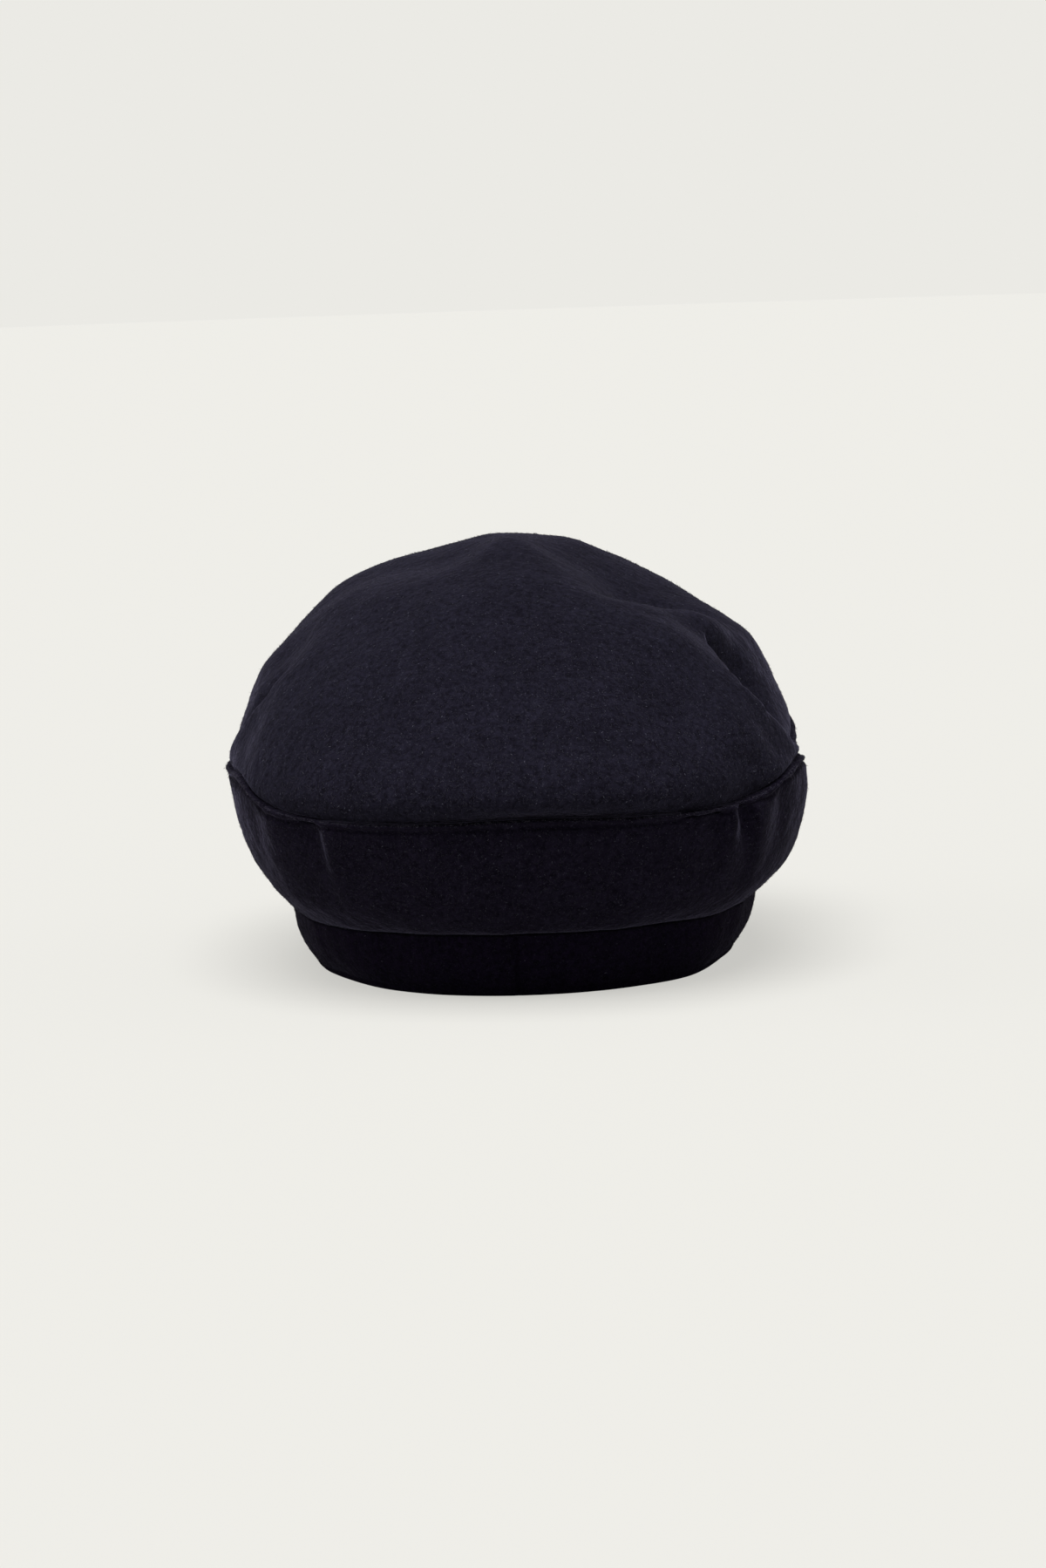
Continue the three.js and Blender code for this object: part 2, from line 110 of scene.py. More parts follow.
# %% Loops of the ring and of the top
# half width, half length, middle x, middle y, z at the back, z at the sides, z in front, squareness
RING_LOOPS = np.array([
    [90.0, 106.0, 0.0, 0.0, 24.5, 25.0, 38.5, 2.15],  # sewn to the headband
    [95.0, 112.0, -0.3, 0.5, 28.0, 30.0, 45.0, 2.18],
    [102.5, 119.0, -0.3, 0.5, 35.5, 39.5, 55.5, 2.25],
    [108.0, 123.5, 0.0, 0.5, 48.0, 54.0, 70.0, 2.32],
    [110.5, 126.0, 0.3, 0.5, 60.0, 68.0, 85.0, 2.42],
    [110.5, 126.5, 0.5, 0.5, 69.0, 79.4, 98.0, 2.55],  # the crown seam
])
TOP_LOOPS = np.array([
    [110.5, 126.5, 0.5, 0.5, 69.0, 79.4, 98.0, 2.55],  # the crown seam
    [108.0, 127.6, 0.8, 0.5, 75.8, 88.3, 108.0, 2.45],
    [102.0, 123.5, 1.0, -0.5, 90.5, 101.5, 122.5, 2.35],
    [93.0, 112.0, 1.0, -3.0, 107.0, 115.5, 136.0, 2.25],
    [77.5, 94.0, 1.5, -7.5, 124.5, 128.5, 147.5, 2.15],
    [54.0, 69.0, 2.0, -11.5, 141.0, 140.5, 156.0, 2.05],
    [26.0, 36.5, 0.5, -15.0, 153.5, 151.5, 159.5, 2.0],
    [0.0, 0.0, 0.0, -16.0, 159.5, 159.5, 159.5, 2.0],  # the apex
])
SEAM_LEVEL = len(RING_LOOPS) - 1
APEX_LEVEL = len(TOP_LOOPS) - 1


def loop_between(loops, level):
    """The row of the table at any level, on a smooth curve through the rows around it."""
    last = len(loops) - 1
    level = np.clip(level, 0, last)
    i = np.minimum(level.astype(int), last - 1)
    t = (level - i)[..., None]
    here, there = loops[i], loops[i + 1]
    before = np.where((i > 0)[..., None], loops[np.maximum(i - 1, 0)], 2 * here - there)
    after = np.where((i < last - 1)[..., None], loops[np.minimum(i + 2, last)], 2 * there - here)
    over_apex = (i == last - 1) & (loops[last, 0] == 0)  # the cloth carries on down the other side
    after[over_apex, 4:7] = here[over_apex, 4:7]
    bend = (2 * before - 5 * here + 4 * there - after) * t**2
    twist = (3 * here - before - 3 * there + after) * t**3
    return (2 * here + (there - before) * t + bend + twist) / 2


def loop_point(loops, azimuth, level):
    """A point of the smooth crown, before any slump."""
    azimuth, level = np.broadcast_arrays(azimuth, np.asarray(level, float))
    row = np.moveaxis(loop_between(loops, level), -1, 0)
    half_width, half_length, middle_x, middle_y, z_back, z_side, z_front, squareness = row
    s, c = np.sin(azimuth), np.cos(azimuth)
    across = np.abs(s / np.maximum(half_width, TINY)) ** squareness
    along = np.abs(c / np.maximum(half_length, TINY)) ** squareness
    reach = (across + along) ** (-1 / squareness)
    z = z_side + (z_back - z_front) / 2 * c + ((z_back + z_front) / 2 - z_side) * c * c
    return np.stack([middle_x + reach * s, middle_y + reach * c, z], -1)


print("ring loops:", len(RING_LOOPS), " top loops:", len(TOP_LOOPS))

# %% [markdown]
# Now the slump. Soft lobes and hollows are round pushes straight away from one spot in the middle of
# the crown. First come the small helpers that say where a place on the crown is.

# %% Places on the crown
CROWN_MIDDLE = np.array([0.0, -5.0, 63.0])


def unit(vectors):
    return vectors / np.maximum(np.linalg.norm(vectors, axis=-1, keepdims=True), TINY)


def degrees_from(azimuth, centre):
    """How many degrees an azimuth in radians lies past a centre in degrees, from -180 to 180."""
    return (np.degrees(azimuth) - centre + 180) % 360 - 180


def on_crown(azimuth, level):
    """The point of the smooth crown at one azimuth in degrees. A level under 0 is on the ring."""
    loops = TOP_LOOPS if level >= 0 else RING_LOOPS
    return loop_point(loops, math.radians(azimuth), level if level >= 0 else SEAM_LEVEL + level)


print("the back of the seam before it slumps:", np.round(on_crown(0, 0), 1), "mm")

# %% Lobes and hollows
# azimuth, level, radius, push
LOBES = np.array([
    [80, 4.8, 20, 5.0],  # left shoulder
    [84, 3.6, 13, -3.5],  # hollow under it
    [95, 2.6, 13, 3.0],  # left lobe
    [95, 1.8, 9, -2.0],  # left flank
    [100, 6.0, 20, -1.6],  # hollow beside the apex
    [10, 6.8, 15, 2.4],  # knob at the apex
    [270, 5.1, 26, -6.0],  # right shoulder
    [270, 2.0, 20, -4.5],  # right flank
    [262, 3.4, 16, 1.4],  # lobe beyond the deep fold
    [130, 4.2, 15, 2.6],  # front of the left shoulder
    [152, 5.3, 12, -1.5],  # hollow before the apex
    [229, 3.7, 24, -2.4],  # front of the right shoulder
    [211, 5.3, 9, 0.7],  # right of the apex
    [104, 3.4, 9, -1.6],  # left shoulder's dip
    [248, 2.5, 9, 1.3],  # rim of the right shoulder
    [84, 0.1, 8, 1.7],  # cloth pushed out at the left end of the seam
    [288, -0.9, 8, 1.6],  # and at its right end
    [70, -3.1, 10, -1.9],  # left cheek of the ring
    [292, -3.9, 9, -1.6],  # right cheek of the ring
    [316, 0.7, 11, -4.0],  # hollow over the right half of the seam
    [316, 2.2, 13, 3.4],  # cloth that hangs over it
    [314, 4.0, 13, 2.6],  # the fold's back
    [326, 2.9, 13, -1.8],  # and the hollow beside it
    [285, 2.6, 15, -18.0],  # far wall of the deep fold
    [285, 2.0, 10, -6.0],
    [287, 2.95, 8, -4.0],
    [281, 3.95, 10, 4.0],  # ridge over it
])


def lobe_push(points):
    total = np.zeros(points.shape[:-1])
    for azimuth, level, radius, push in LOBES:
        away = ((points - on_crown(azimuth, level)) ** 2).sum(-1)
        total += push * np.exp(-away / (2 * radius**2))
    return total


print("lobes and hollows:", len(LOBES), " largest push:", np.abs(LOBES[:, 3]).max(), "mm")

# %% [markdown]
# A fold runs along a crest: the cloth rises gently to the crest and drops into a valley beyond it. The
# crest of a sharp fold also leans sideways over its valley, as cloth does where it is deeply creased.
# Each fold is a line of crest points, and the cloth follows the stretches between them.

# %% Crests of the folds
# azimuth and level of the crest, depth and width of the valley, height of the ridge
DEEP_FOLD = np.array([
    [286, -0.3, 1.0, 12, 0.3],
    [293.5, 0.75, 6.0, 14, 0.7],
    [298.5, 1.4, 11.0, 15, 1.1],
    [302.5, 2.0, 14.0, 17, 1.5],
    [305.5, 2.55, 16.0, 19, 1.6],
    [306, 3.05, 17.0, 21, 1.6],
    [303.5, 3.45, 16.0, 21, 1.3],
    [299.5, 3.75, 12.0, 20, 0.9],
    [294, 3.95, 5.0, 17, 0.5],
])
LEFT_FOLD = np.array([
    [86, 0.3, 0.5, 8, 0.2],
    [80, 1.3, 3.0, 10, 0.7],
    [74, 2.2, 3.5, 11, 0.7],
    [71, 3.0, 1.5, 10, 0.3],
    [70, 3.8, 0.0, 10, 0.0],
])
SOFT_FOLD = np.array([
    [336, 5.4, 0.0, 15, 0.2],
    [320.7, 4.94, 1.4, 15, 1.2],
    [300, 4.72, 3.4, 15, 2.2],
    [284, 4.36, 4.0, 15, 2.7],
    [275, 3.88, 2.4, 13, 1.9],
    [270, 3.45, 0.0, 11, 0.4],
])
# crest, side of the valley, whether the crest is sharp
FOLDS = [(DEEP_FOLD, 1, True), (LEFT_FOLD, -1, True), (SOFT_FOLD, -1, False)]
print("folds:", len(FOLDS), " deepest valley:", DEEP_FOLD[:, 2].max(), "mm")

# %% What a fold does to the cloth
SHARP_RIDGE_SPREAD = 4.5
SOFT_RIDGE_SPREAD = 10.0
CREST_DROP = 2.45  # a sharp ridge is this many times narrower beyond its crest
CREST_FALL = 0.2  # share of the valley's width over which the cloth drops from a sharp crest
CREST_LEAN = 5.5  # a sharp crest leans this far over its valley where the valley is deep
FOLD_END_FADE = 5.0
FOLD_CORNER_BLEND = 5.0  # millimetres over which two stretches share the cloth
VALLEY_FLOOR = 0.5  # a sharp fold's valley stays deep up to this share of its width
VALLEY_FAR_SIDE = 0.55  # and climbs out over this share
LEAN_DEPTH = 10.0  # valleys deeper than this have the whole lean
LEAN_BEYOND = 3.5  # the lean dies away over this many millimetres beyond the crest
LEAN_BEFORE = 6.0  # and over this many before it


def stretch_move(points, crest, k, valley_side, sharp):
    """What the stretch between crest rows k and k + 1 does to the points, and how far it is."""
    start, end = on_crown(*crest[k, :2]), on_crown(*crest[k + 1, :2])
    length = np.linalg.norm(end - start)
    along = (end - start) / length
    run = (points - start) @ along
    held = np.clip(run, 0, length)
    foot = start + held[..., None] * along
    away = points - foot
    across = unit(np.cross(along, foot - CROWN_MIDDLE)) * valley_side
    side = (across * away).sum(-1)
    change = crest[k + 1, 2:] - crest[k, 2:]
    depth, width, ridge = (crest[k, 2:] + (held / length)[..., None] * change).T
    x = np.maximum(side, 0) / width.T
    if sharp:
        near_side = 1 - np.exp(-((x / CREST_FALL) ** 2))
        far_side = np.exp(-((np.maximum(x - VALLEY_FLOOR, 0) / VALLEY_FAR_SIDE) ** 2))
        valley = near_side * far_side
    else:
        valley = x * x * np.exp(1 - x * x)
    spread = SHARP_RIDGE_SPREAD if sharp else SOFT_RIDGE_SPREAD
    narrower = np.where((side > 0) & sharp, CREST_DROP, 1)
    rise = ridge.T * np.exp(-((side * narrower) ** 2) / (2 * spread**2))
    past = np.zeros_like(run)
    if k == 0:
        past = np.maximum(-run, 0)
    if k == len(crest) - 2:
        past = np.maximum(run - length, 0)
    fade = np.exp(-((past / FOLD_END_FADE) ** 2))
    lean_fade = np.where(side > 0, LEAN_BEYOND, LEAN_BEFORE)
    leaning = np.minimum(depth.T / LEAN_DEPTH, 1) * np.exp(-((side / lean_fade) ** 2))
    sideways = CREST_LEAN * sharp * (leaning * fade)[..., None] * across
    outwards = ((rise - depth.T * valley) * fade)[..., None] * unit(points - CROWN_MIDDLE)
    return outwards + sideways, np.linalg.norm(away, axis=-1)


def fold_move(points, crest, valley_side, sharp):
    """How far one fold moves the points: out to its crest, in to its valley, and sideways over it."""
    parts = [stretch_move(points, crest, k, valley_side, sharp) for k in range(len(crest) - 1)]
    moves = np.array([move for move, far in parts])
    fars = np.array([far for move, far in parts])
    weights = np.exp(-(fars**2 - fars.min(0) ** 2) / (2 * FOLD_CORNER_BLEND**2))
    return (weights[..., None] * moves).sum(0) / weights.sum(0)[..., None]


middle_crest = on_crown(*DEEP_FOLD[len(DEEP_FOLD) // 2, :2])[None]
crest_move = fold_move(middle_crest, DEEP_FOLD, 1, True)[0]
print("the deep fold moves the middle of its crest by", np.round(crest_move, 1), "mm")

# %% [markdown]
# Gathers are the short ridges and dips where more cloth was eased into the seam than the seam is long.
# They are deepest a little below the seam and fade down the ring. Where the cloth of the crown pulls at
# the seam, the seam's own line is lifted or sinks a little.

# %% Gathers and the wandering seam
# azimuth at the seam, push, spread in degrees to either side, levels below the seam where it is
# deepest, and how many degrees it leans over one level
GATHERS = np.array([
    [33.4, 1.9, 3.2, 1.3, 0.7, 0.0],
    [36.6, -2.8, 1.5, 3.4, 0.75, 0.0],
    [47.5, 1.2, 2.8, 2.8, 0.7, 0.0],
    [55.5, -1.2, 3.0, 3.0, 0.6, 0.0],
    [306.0, -1.6, 2.6, 2.8, 0.6, 0.0],
    [316.4, 2.4, 3.2, 1.1, 0.6, -1.6],
    [319.3, -3.0, 1.1, 1.3, 0.55, -1.2],
    [322.3, 2.4, 1.3, 1.2, 0.55, -0.3],
    [326.0, -2.6, 1.3, 2.0, 0.55, 0.0],
    [331.0, -1.6, 1.1, 1.6, 0.45, 0.0],
])
# azimuth, lift, spread in degrees: the seam's line wanders up and down where cloth pulls at it
SEAM_WANDERS = np.array([
    [358, 1.3, 9],
    [298, 4.6, 9],
    [324, -1.2, 11],
    [64, 5.8, 8],
    [36, -0.9, 13],
])
WANDER_REACH = 0.75  # levels to either side of the seam


def gather_push(azimuth, level):
    total = np.zeros(np.broadcast(azimuth, level).shape)
    for centre, push, low_side, high_side, deepest, lean in GATHERS:
        below = (SEAM_LEVEL - level) / deepest
        off = degrees_from(azimuth, centre + lean * (SEAM_LEVEL - level))
        off = off / np.where(off < 0, low_side, high_side)
        total += push * np.exp(-off * off / 2) * below * np.exp(1 - below)
    return total


def seam_wander(azimuth, from_seam):
    lift = np.zeros(np.broadcast(azimuth, from_seam).shape)
    for centre, height, spread in SEAM_WANDERS:
        off = degrees_from(azimuth, centre) / spread
        lift += height * np.exp(-off * off / 2 - (from_seam / WANDER_REACH) ** 2)
    return lift[..., None] * UP


print("gathers:", len(GATHERS), " places where the seam wanders:", len(SEAM_WANDERS))

# %% [markdown]
# Felted wool never lies perfectly even. A sum of long waves in random directions adds the slight
# unevenness that the eye expects from thick cloth. The random numbers are seeded, so the cap comes out
# the same every time.

# %% Unevenness of the cloth, and the two surfaces
WAVES = 14
PACE_LOW, PACE_HIGH = 0.7, 1.4  # the waves are this much longer or shorter than asked
LONG_RIPPLES = (34.0, 0.35, 1)  # wavelength, height, seed
SHORT_RIPPLES = (12.0, 0.12, 2)


def ripples(points, wavelength, height, seed):
    """A smooth random height at each point: waves of about one length in all directions."""
    rng = np.random.default_rng(seed)
    directions = unit(rng.normal(size=(WAVES, 3)))
    pace = 2 * math.pi / wavelength * rng.uniform(PACE_LOW, PACE_HIGH, size=(WAVES, 1))
    phases = rng.uniform(0, 2 * math.pi, WAVES)
    return height * np.cos(points @ (directions * pace).T + phases).sum(-1) / math.sqrt(WAVES)


def slumped(points, more=0.0):
    """Points of the smooth crown after the slump. More is a further push outwards."""
    uneven = lobe_push(points) + ripples(points, *LONG_RIPPLES) + ripples(points, *SHORT_RIPPLES)
    push = uneven + more
    folded = sum(fold_move(points, *fold) for fold in FOLDS)
    return points + folded + unit(points - CROWN_MIDDLE) * push[..., None]


def top_face(azimuth, level):
    """The outer face of the crown's top."""
    return slumped(loop_point(TOP_LOOPS, azimuth, level)) + seam_wander(azimuth, level)


def ring_face(azimuth, level):
    """The outer face of the ring under the top."""
    draped = slumped(loop_point(RING_LOOPS, azimuth, level), gather_push(azimuth, level))
    return draped + seam_wander(azimuth, SEAM_LEVEL - level)


def widest(points):
    return np.round(np.ptp(points, axis=0), 1)


all_round = np.linspace(0, 2 * math.pi, 361)
print("crown seam spans", widest(top_face(all_round, 0.0)), "mm")

# %% [markdown]
# ## How an edge is turned in
#
# At the crown seam both pieces of cloth bend inwards, and their turned-in edges lie face to face
# inside the cap. That bend is what the eye reads as a seam: two soft rounded edges with a dark groove
# between them. One function makes the bend for every piece. It takes how far a point is past the
# edge, measured along the cloth, and lays it on the rounded bend or on the turned-in strip. Points
# that lie before the bend are left to the outer face itself.

# %% Turned-in edges
CLOTH = 1.7  # thickness of one layer
SEAM_GAP = 0.3  # clearance between two sewn faces
TURNED_IN = 7.5  # width of the strip inside the seam
TOP_BEND = 2.5  # the bend reaches this far to each side of an edge
RING_BEND = 1.3  # sharper, because the turned-in edge is stitched down
SLOPE_STEP = 0.01  # a small step for slopes, in radians along a loop or in levels across it
ROLLED_AZIMUTH = 280  # here the ring's edge rolls over softly
ROLLED_MORE = 4.0  # so its bend reaches this much further
ROLLED_SPREAD = 13  # degrees


def ring_bend(azimuth):
    """How far the bend at the ring's upper edge reaches."""
    off = degrees_from(azimuth, ROLLED_AZIMUTH) / ROLLED_SPREAD
    return RING_BEND + ROLLED_MORE * np.exp(-off * off / 2)


def inward(face, azimuth, level):
    """The level direction into the cap, square to the loop."""
    along = face(azimuth + SLOPE_STEP, level) - face(azimuth - SLOPE_STEP, level)
    along[..., 2] = 0
    return np.cross(unit(along), UP)


def per_level(face, azimuth, level, into):
    """Millimetres of cloth to one level, just inside an edge."""
    step = face(azimuth, level + into * SLOPE_STEP) - face(azimuth, level)
    return np.linalg.norm(step, axis=-1) / SLOPE_STEP


def turned_edge(face, azimuth, past, edge, into, lift, reach):
    """Points near an edge: past is the distance beyond it along the cloth, in millimetres. The levels
    of the piece lie on the side of the edge that into says, and reach says how far the bend reaches."""
    level_size = per_level(face, azimuth, edge, into)
    corner = face(azimuth, edge) + lift * UP
    start = face(azimuth, edge + into * reach / level_size)
    inwards = inward(face, azimuth, edge)
    reach = np.broadcast_to(reach, past.shape)[..., None]
    past = past[..., None]
    t = np.clip((past + reach) / (2 * reach), 0, 1)
    bend = (1 - t) ** 2 * start + 2 * t * (1 - t) * corner + t**2 * (corner + reach * inwards)
    return np.where(past > reach, corner + inwards * past, bend)


rolled_bend = ring_bend(math.radians(ROLLED_AZIMUTH))
print("the ring's bend reaches", RING_BEND, "mm, and", round(rolled_bend, 1), "mm where it rolls over")

# %% [markdown]
# ## Working on a pattern
#
# These helpers do by code what a hand does in Blender: select points, extrude an edge, move what was
# made. While a piece is still a pattern, the height of a point says how far along the cloth it lies,
# so that the draping function can read it.

# %% Helpers that select and extrude
TURN_ROWS = 8  # rows of faces in a turned-in strip
TURN_STEP = 0.05  # height of one such row while the piece is a pattern


def begin():
    """Nothing may stay selected when a primitive is added, because operators act on all of it."""
    if bpy.context.object and bpy.context.object.mode != "OBJECT":
        bpy.ops.object.mode_set(mode="OBJECT")
    bpy.ops.object.select_all(action="DESELECT")


def read_points(piece):
    points = np.empty(len(piece.data.vertices) * 3)
    piece.data.vertices.foreach_get("co", points)
    return points.reshape(-1, 3)


def write_points(piece, points):
    piece.data.vertices.foreach_set("co", np.asarray(points, float).ravel())
    piece.data.update()


def select_points(piece, chosen):
    """Selects points by a list of true and false and goes into edit mode."""
    bpy.ops.object.mode_set(mode="EDIT")
    bpy.ops.mesh.select_mode(type="VERT")
    bpy.ops.mesh.select_all(action="DESELECT")
    bpy.ops.object.mode_set(mode="OBJECT")
    piece.data.vertices.foreach_set("select", np.asarray(chosen, bool))
    bpy.ops.object.mode_set(mode="EDIT")


def extrude_rows(piece, edge_height, rows, step):
    """Extrudes the edge of a pattern that lies at one height, row by row."""
    select_points(piece, np.abs(read_points(piece)[:, 2] - edge_height) < TINY)
    for _ in range(rows):
        bpy.ops.mesh.extrude_region_move(TRANSFORM_OT_translate={"value": (0, 0, step)})
    bpy.ops.object.mode_set(mode="OBJECT")


print("a turned-in strip has", TURN_ROWS, "rows of faces over", TURNED_IN, "mm")

# %% Helpers that measure and thicken
FINE_LEVELS = 400
CLEAR_OF_FLOOR = 1.5  # no fibre starts less than this over the floor, so that none goes through it


def even_levels(face, levels, azimuth):
    """Shares of the way up the cloth at finely spaced levels, so that rows come out equally tall."""
    fine = np.linspace(levels[0], levels[1], FINE_LEVELS)
    steps = np.linalg.norm(np.diff(face(azimuth, fine), axis=0), axis=-1)
    return np.concatenate([[0], np.cumsum(steps)]) / steps.sum(), fine


def outer_faces(piece, pattern, lowest, highest):
    """Middles, normals and areas, in metres, of the faces whose pattern lies between two heights."""
    count = len(piece.data.polygons)
    middles, normals, areas = np.empty(count * 3), np.empty(count * 3), np.empty(count)
    piece.data.polygons.foreach_get("center", middles)
    piece.data.polygons.foreach_get("normal", normals)
    piece.data.polygons.foreach_get("area", areas)
    firsts = np.array([face.vertices[0] for face in piece.data.polygons])
    heights = pattern[firsts, 2]
    middles, normals = middles.reshape(-1, 3), normals.reshape(-1, 3)
    kept = (heights > lowest) & (heights < highest) & (middles[:, 2] > CLEAR_OF_FLOOR * MM)
    return middles[kept], normals[kept], areas[kept]


def add_wall(piece, thickness):
    """Gives the cloth its thickness, inwards from the face that was draped."""
    bpy.ops.object.modifier_add(type="SOLIDIFY")
    wall = piece.modifiers[-1]
    wall.thickness = thickness * MM
    wall.offset = -1
    wall.use_even_offset = True
    wall.use_quality_normals = True
    bpy.ops.object.modifier_apply(modifier=wall.name)


def describe(piece):
    piece.data.calc_loop_triangles()
    size = np.ptp(read_points(piece), axis=0) / MM
    count = len(piece.data.loop_triangles)
    print(piece.name, "has", count, "triangles and spans", np.round(size, 1), "mm")


# %% [markdown]
# ## The crown's top
#
# The top is one round of cloth. A ball would be the obvious primitive, but an ordinary ball crowds its
# points at the pole, and the crown would show a star there. A cube that is subdivided and then blown
# up to a ball has squares of one size all over. Its lower half is cut away, and the open edge is
# extruded into the strip that is turned in at the seam.

# %% Pattern of the crown's top
FIRST_CUTS = 11
SECOND_CUTS = 9  # together 120 squares along each side of the cube

begin()
bpy.ops.mesh.primitive_cube_add(size=2)
crown_top = bpy.context.object
crown_top.name = "crown_top_wool"
bpy.ops.object.mode_set(mode="EDIT")
bpy.ops.mesh.select_all(action="SELECT")
bpy.ops.mesh.subdivide(number_cuts=FIRST_CUTS)
bpy.ops.mesh.subdivide(number_cuts=SECOND_CUTS)
bpy.ops.object.mode_set(mode="OBJECT")
write_points(crown_top, np.tan(read_points(crown_top) * math.pi / 4))  # evens out the squares
write_points(crown_top, unit(read_points(crown_top)))
bpy.ops.object.mode_set(mode="EDIT")
bpy.ops.mesh.select_all(action="SELECT")
bpy.ops.mesh.bisect(plane_co=(0, 0, 0), plane_no=(0, 0, 1), clear_inner=True)
bpy.ops.object.mode_set(mode="OBJECT")
extrude_rows(crown_top, 0.0, TURN_ROWS, -TURN_STEP)
describe(crown_top)

# %% [markdown]
# Draping reads each point's direction as its azimuth and its height on the ball as its level. Points
# near the seam go onto the bend, and the extruded rows go into the turned-in strip.
#
# The stitches pull the top in at the seam, and at the back the loose cloth hangs out over them in three
# places. That overhang is what puts the dark line over the seam. It is a level move, added last.

# %% Drape the crown's top
TOP_SHARES = even_levels(top_face, (0, APEX_LEVEL), 0.0)
OVER_THE_POLE = 1.1  # the pole's height in the pattern is 1
BACK_CROWDING = 0.3  # the photographed back gets more points than the front
# azimuth, spread in degrees, how far the top is pulled in at the seam, how far it bulges over it
OVERHANGS = np.array([[351, 14, 2.2, 6.0], [322, 9, 1.4, 1.6], [24, 16, 0.9, 3.4]])
PULLED_IN = 0.7  # all round
# heights above the seam, in levels times the cloth's length to one level at the seam
PULL_REACH = 4.6
BULGE_HEIGHT = 9.0
BULGE_BELOW = 6.0  # how far the bulge reaches down and up
BULGE_ABOVE = 5.6


def crowd_to_back(azimuth):
    """Moves azimuths towards the back, where more points are needed."""
    return azimuth - BACK_CROWDING * np.sin(azimuth)


def seam_overhang(azimuth, above):
    """How far outwards the top moves just above the seam: pulled in at the stitches, loose above."""
    pulled = np.full_like(azimuth, PULLED_IN)
    bulge = np.zeros_like(azimuth)
    for centre, spread, pull, loose in OVERHANGS:
        near = np.exp(-((degrees_from(azimuth, centre) / spread) ** 2) / 2)
        pulled += pull * near
        bulge += loose * near
    pull_fade = np.exp(-((np.maximum(above, 0) / PULL_REACH) ** 2))
    reach = np.where(above > BULGE_HEIGHT, BULGE_ABOVE, BULGE_BELOW)
    return bulge * np.exp(-(((above - BULGE_HEIGHT) / reach) ** 2)) - pulled * pull_fade


def drape_top(pattern):
    azimuth = crowd_to_back(np.arctan2(pattern[:, 0], pattern[:, 1]))
    height = pattern[:, 2]
    share = np.arcsin(np.clip(height, 0, 1)) / (math.pi / 2)
    level = np.interp(share, *TOP_SHARES)
    turned = -height / TURN_STEP * TURNED_IN / TURN_ROWS
    past = np.where(height < -TINY, turned, -level * per_level(top_face, azimuth, 0.0, 1))
    edge = turned_edge(top_face, azimuth, past, 0.0, 1, SEAM_GAP / 2, TOP_BEND)
    points = np.where(past[:, None] > -TOP_BEND, edge, top_face(azimuth, level))
    return points - inward(top_face, azimuth, 0.0) * seam_overhang(azimuth, -past)[:, None]


top_pattern = read_points(crown_top)
write_points(crown_top, to_metres(drape_top(top_pattern)))
top_cloth = outer_faces(crown_top, top_pattern, 0.0, OVER_THE_POLE)
add_wall(crown_top, CLOTH)
bpy.ops.object.shade_smooth()
describe(crown_top)

# %% [markdown]
# ## The ring under the top
#
# The ring is a long strip sewn into a loop, so its primitive is a tube without ends. Cutting its
# upright edges gives it rows. Both of its edges are turned in: the upper one at the crown seam, the
# lower one where it is sewn to the headband.
#
# Just below the crown seam the two turned-in edges were stitched down. The cloth is raised between the
# seam and the stitches, and it dips and puckers along the stitches. That relief is a small push added
# to the draped points, and the rows are crowded towards the seam to show it.

# %% Pattern of the ring
RING_SIDES = 640
RING_CUTS = 53


def subdivide_upright(piece, cuts):
    """Cuts every upright edge of a tube into equal parts."""
    heights = read_points(piece)[:, 2]
    begin()
    piece.select_set(True)
    bpy.ops.object.mode_set(mode="EDIT")
    bpy.ops.mesh.select_mode(type="EDGE")
    bpy.ops.mesh.select_all(action="DESELECT")
    bpy.ops.object.mode_set(mode="OBJECT")
    for edge in piece.data.edges:
        low, high = edge.vertices
        edge.select = bool(abs(heights[low] - heights[high]) > TINY)
    bpy.ops.object.mode_set(mode="EDIT")
    bpy.ops.mesh.subdivide(number_cuts=cuts)
    bpy.ops.object.mode_set(mode="OBJECT")


def add_tube(name, sides, cuts):
    """A tube without ends, one unit wide and high, standing on the ground."""
    begin()
    bpy.ops.mesh.primitive_cylinder_add(
        vertices=sides, radius=1, depth=1, end_fill_type="NOTHING", location=(0, 0, 0.5)
    )
    bpy.ops.object.transform_apply(location=True)
    tube = bpy.context.object
    tube.name = name
    subdivide_upright(tube, cuts)
    return tube


ring = add_tube("crown_ring_wool", RING_SIDES, RING_CUTS)
extrude_rows(ring, 1.0, TURN_ROWS, TURN_STEP)
extrude_rows(ring, 0.0, TURN_ROWS, -TURN_STEP)
describe(ring)

# %% Drape the ring
RING_SHARES = even_levels(ring_face, (0, SEAM_LEVEL), 0.0)
ROW_CROWDING = 1.35  # more rows near the crown seam, where the relief is fine
STITCH_LINE = 3.1  # the dip of the stitching runs this far below the crown seam
WELT_HEIGHT = 0.8  # the doubled cloth between seam and stitches stands proud
WELT_MIDDLE = 1.0  # it is highest this far below the seam
WELT_SPREAD = 1.2
WELT_STARTS = 0.95  # share of the ring's height from which its cloth counts as the welt
STITCH_DIP = 0.9
STITCH_DIP_SPREAD = 0.8
PUCKER_LENGTH = 5.5
PUCKER_DEPTH = 0.3
PUCKER_SPREAD = 2.2
PUCKER_DRIFT = 2.0  # radians by which the puckers drift out of step, this many times round
DRIFT_TURNS = 9
PUCKER_UNEVEN = 0.4  # share of their depth that comes and goes, this many times round
UNEVEN_TURNS = 17
SEAM_RADIUS = 115.0  # of a circle about as long as the seam


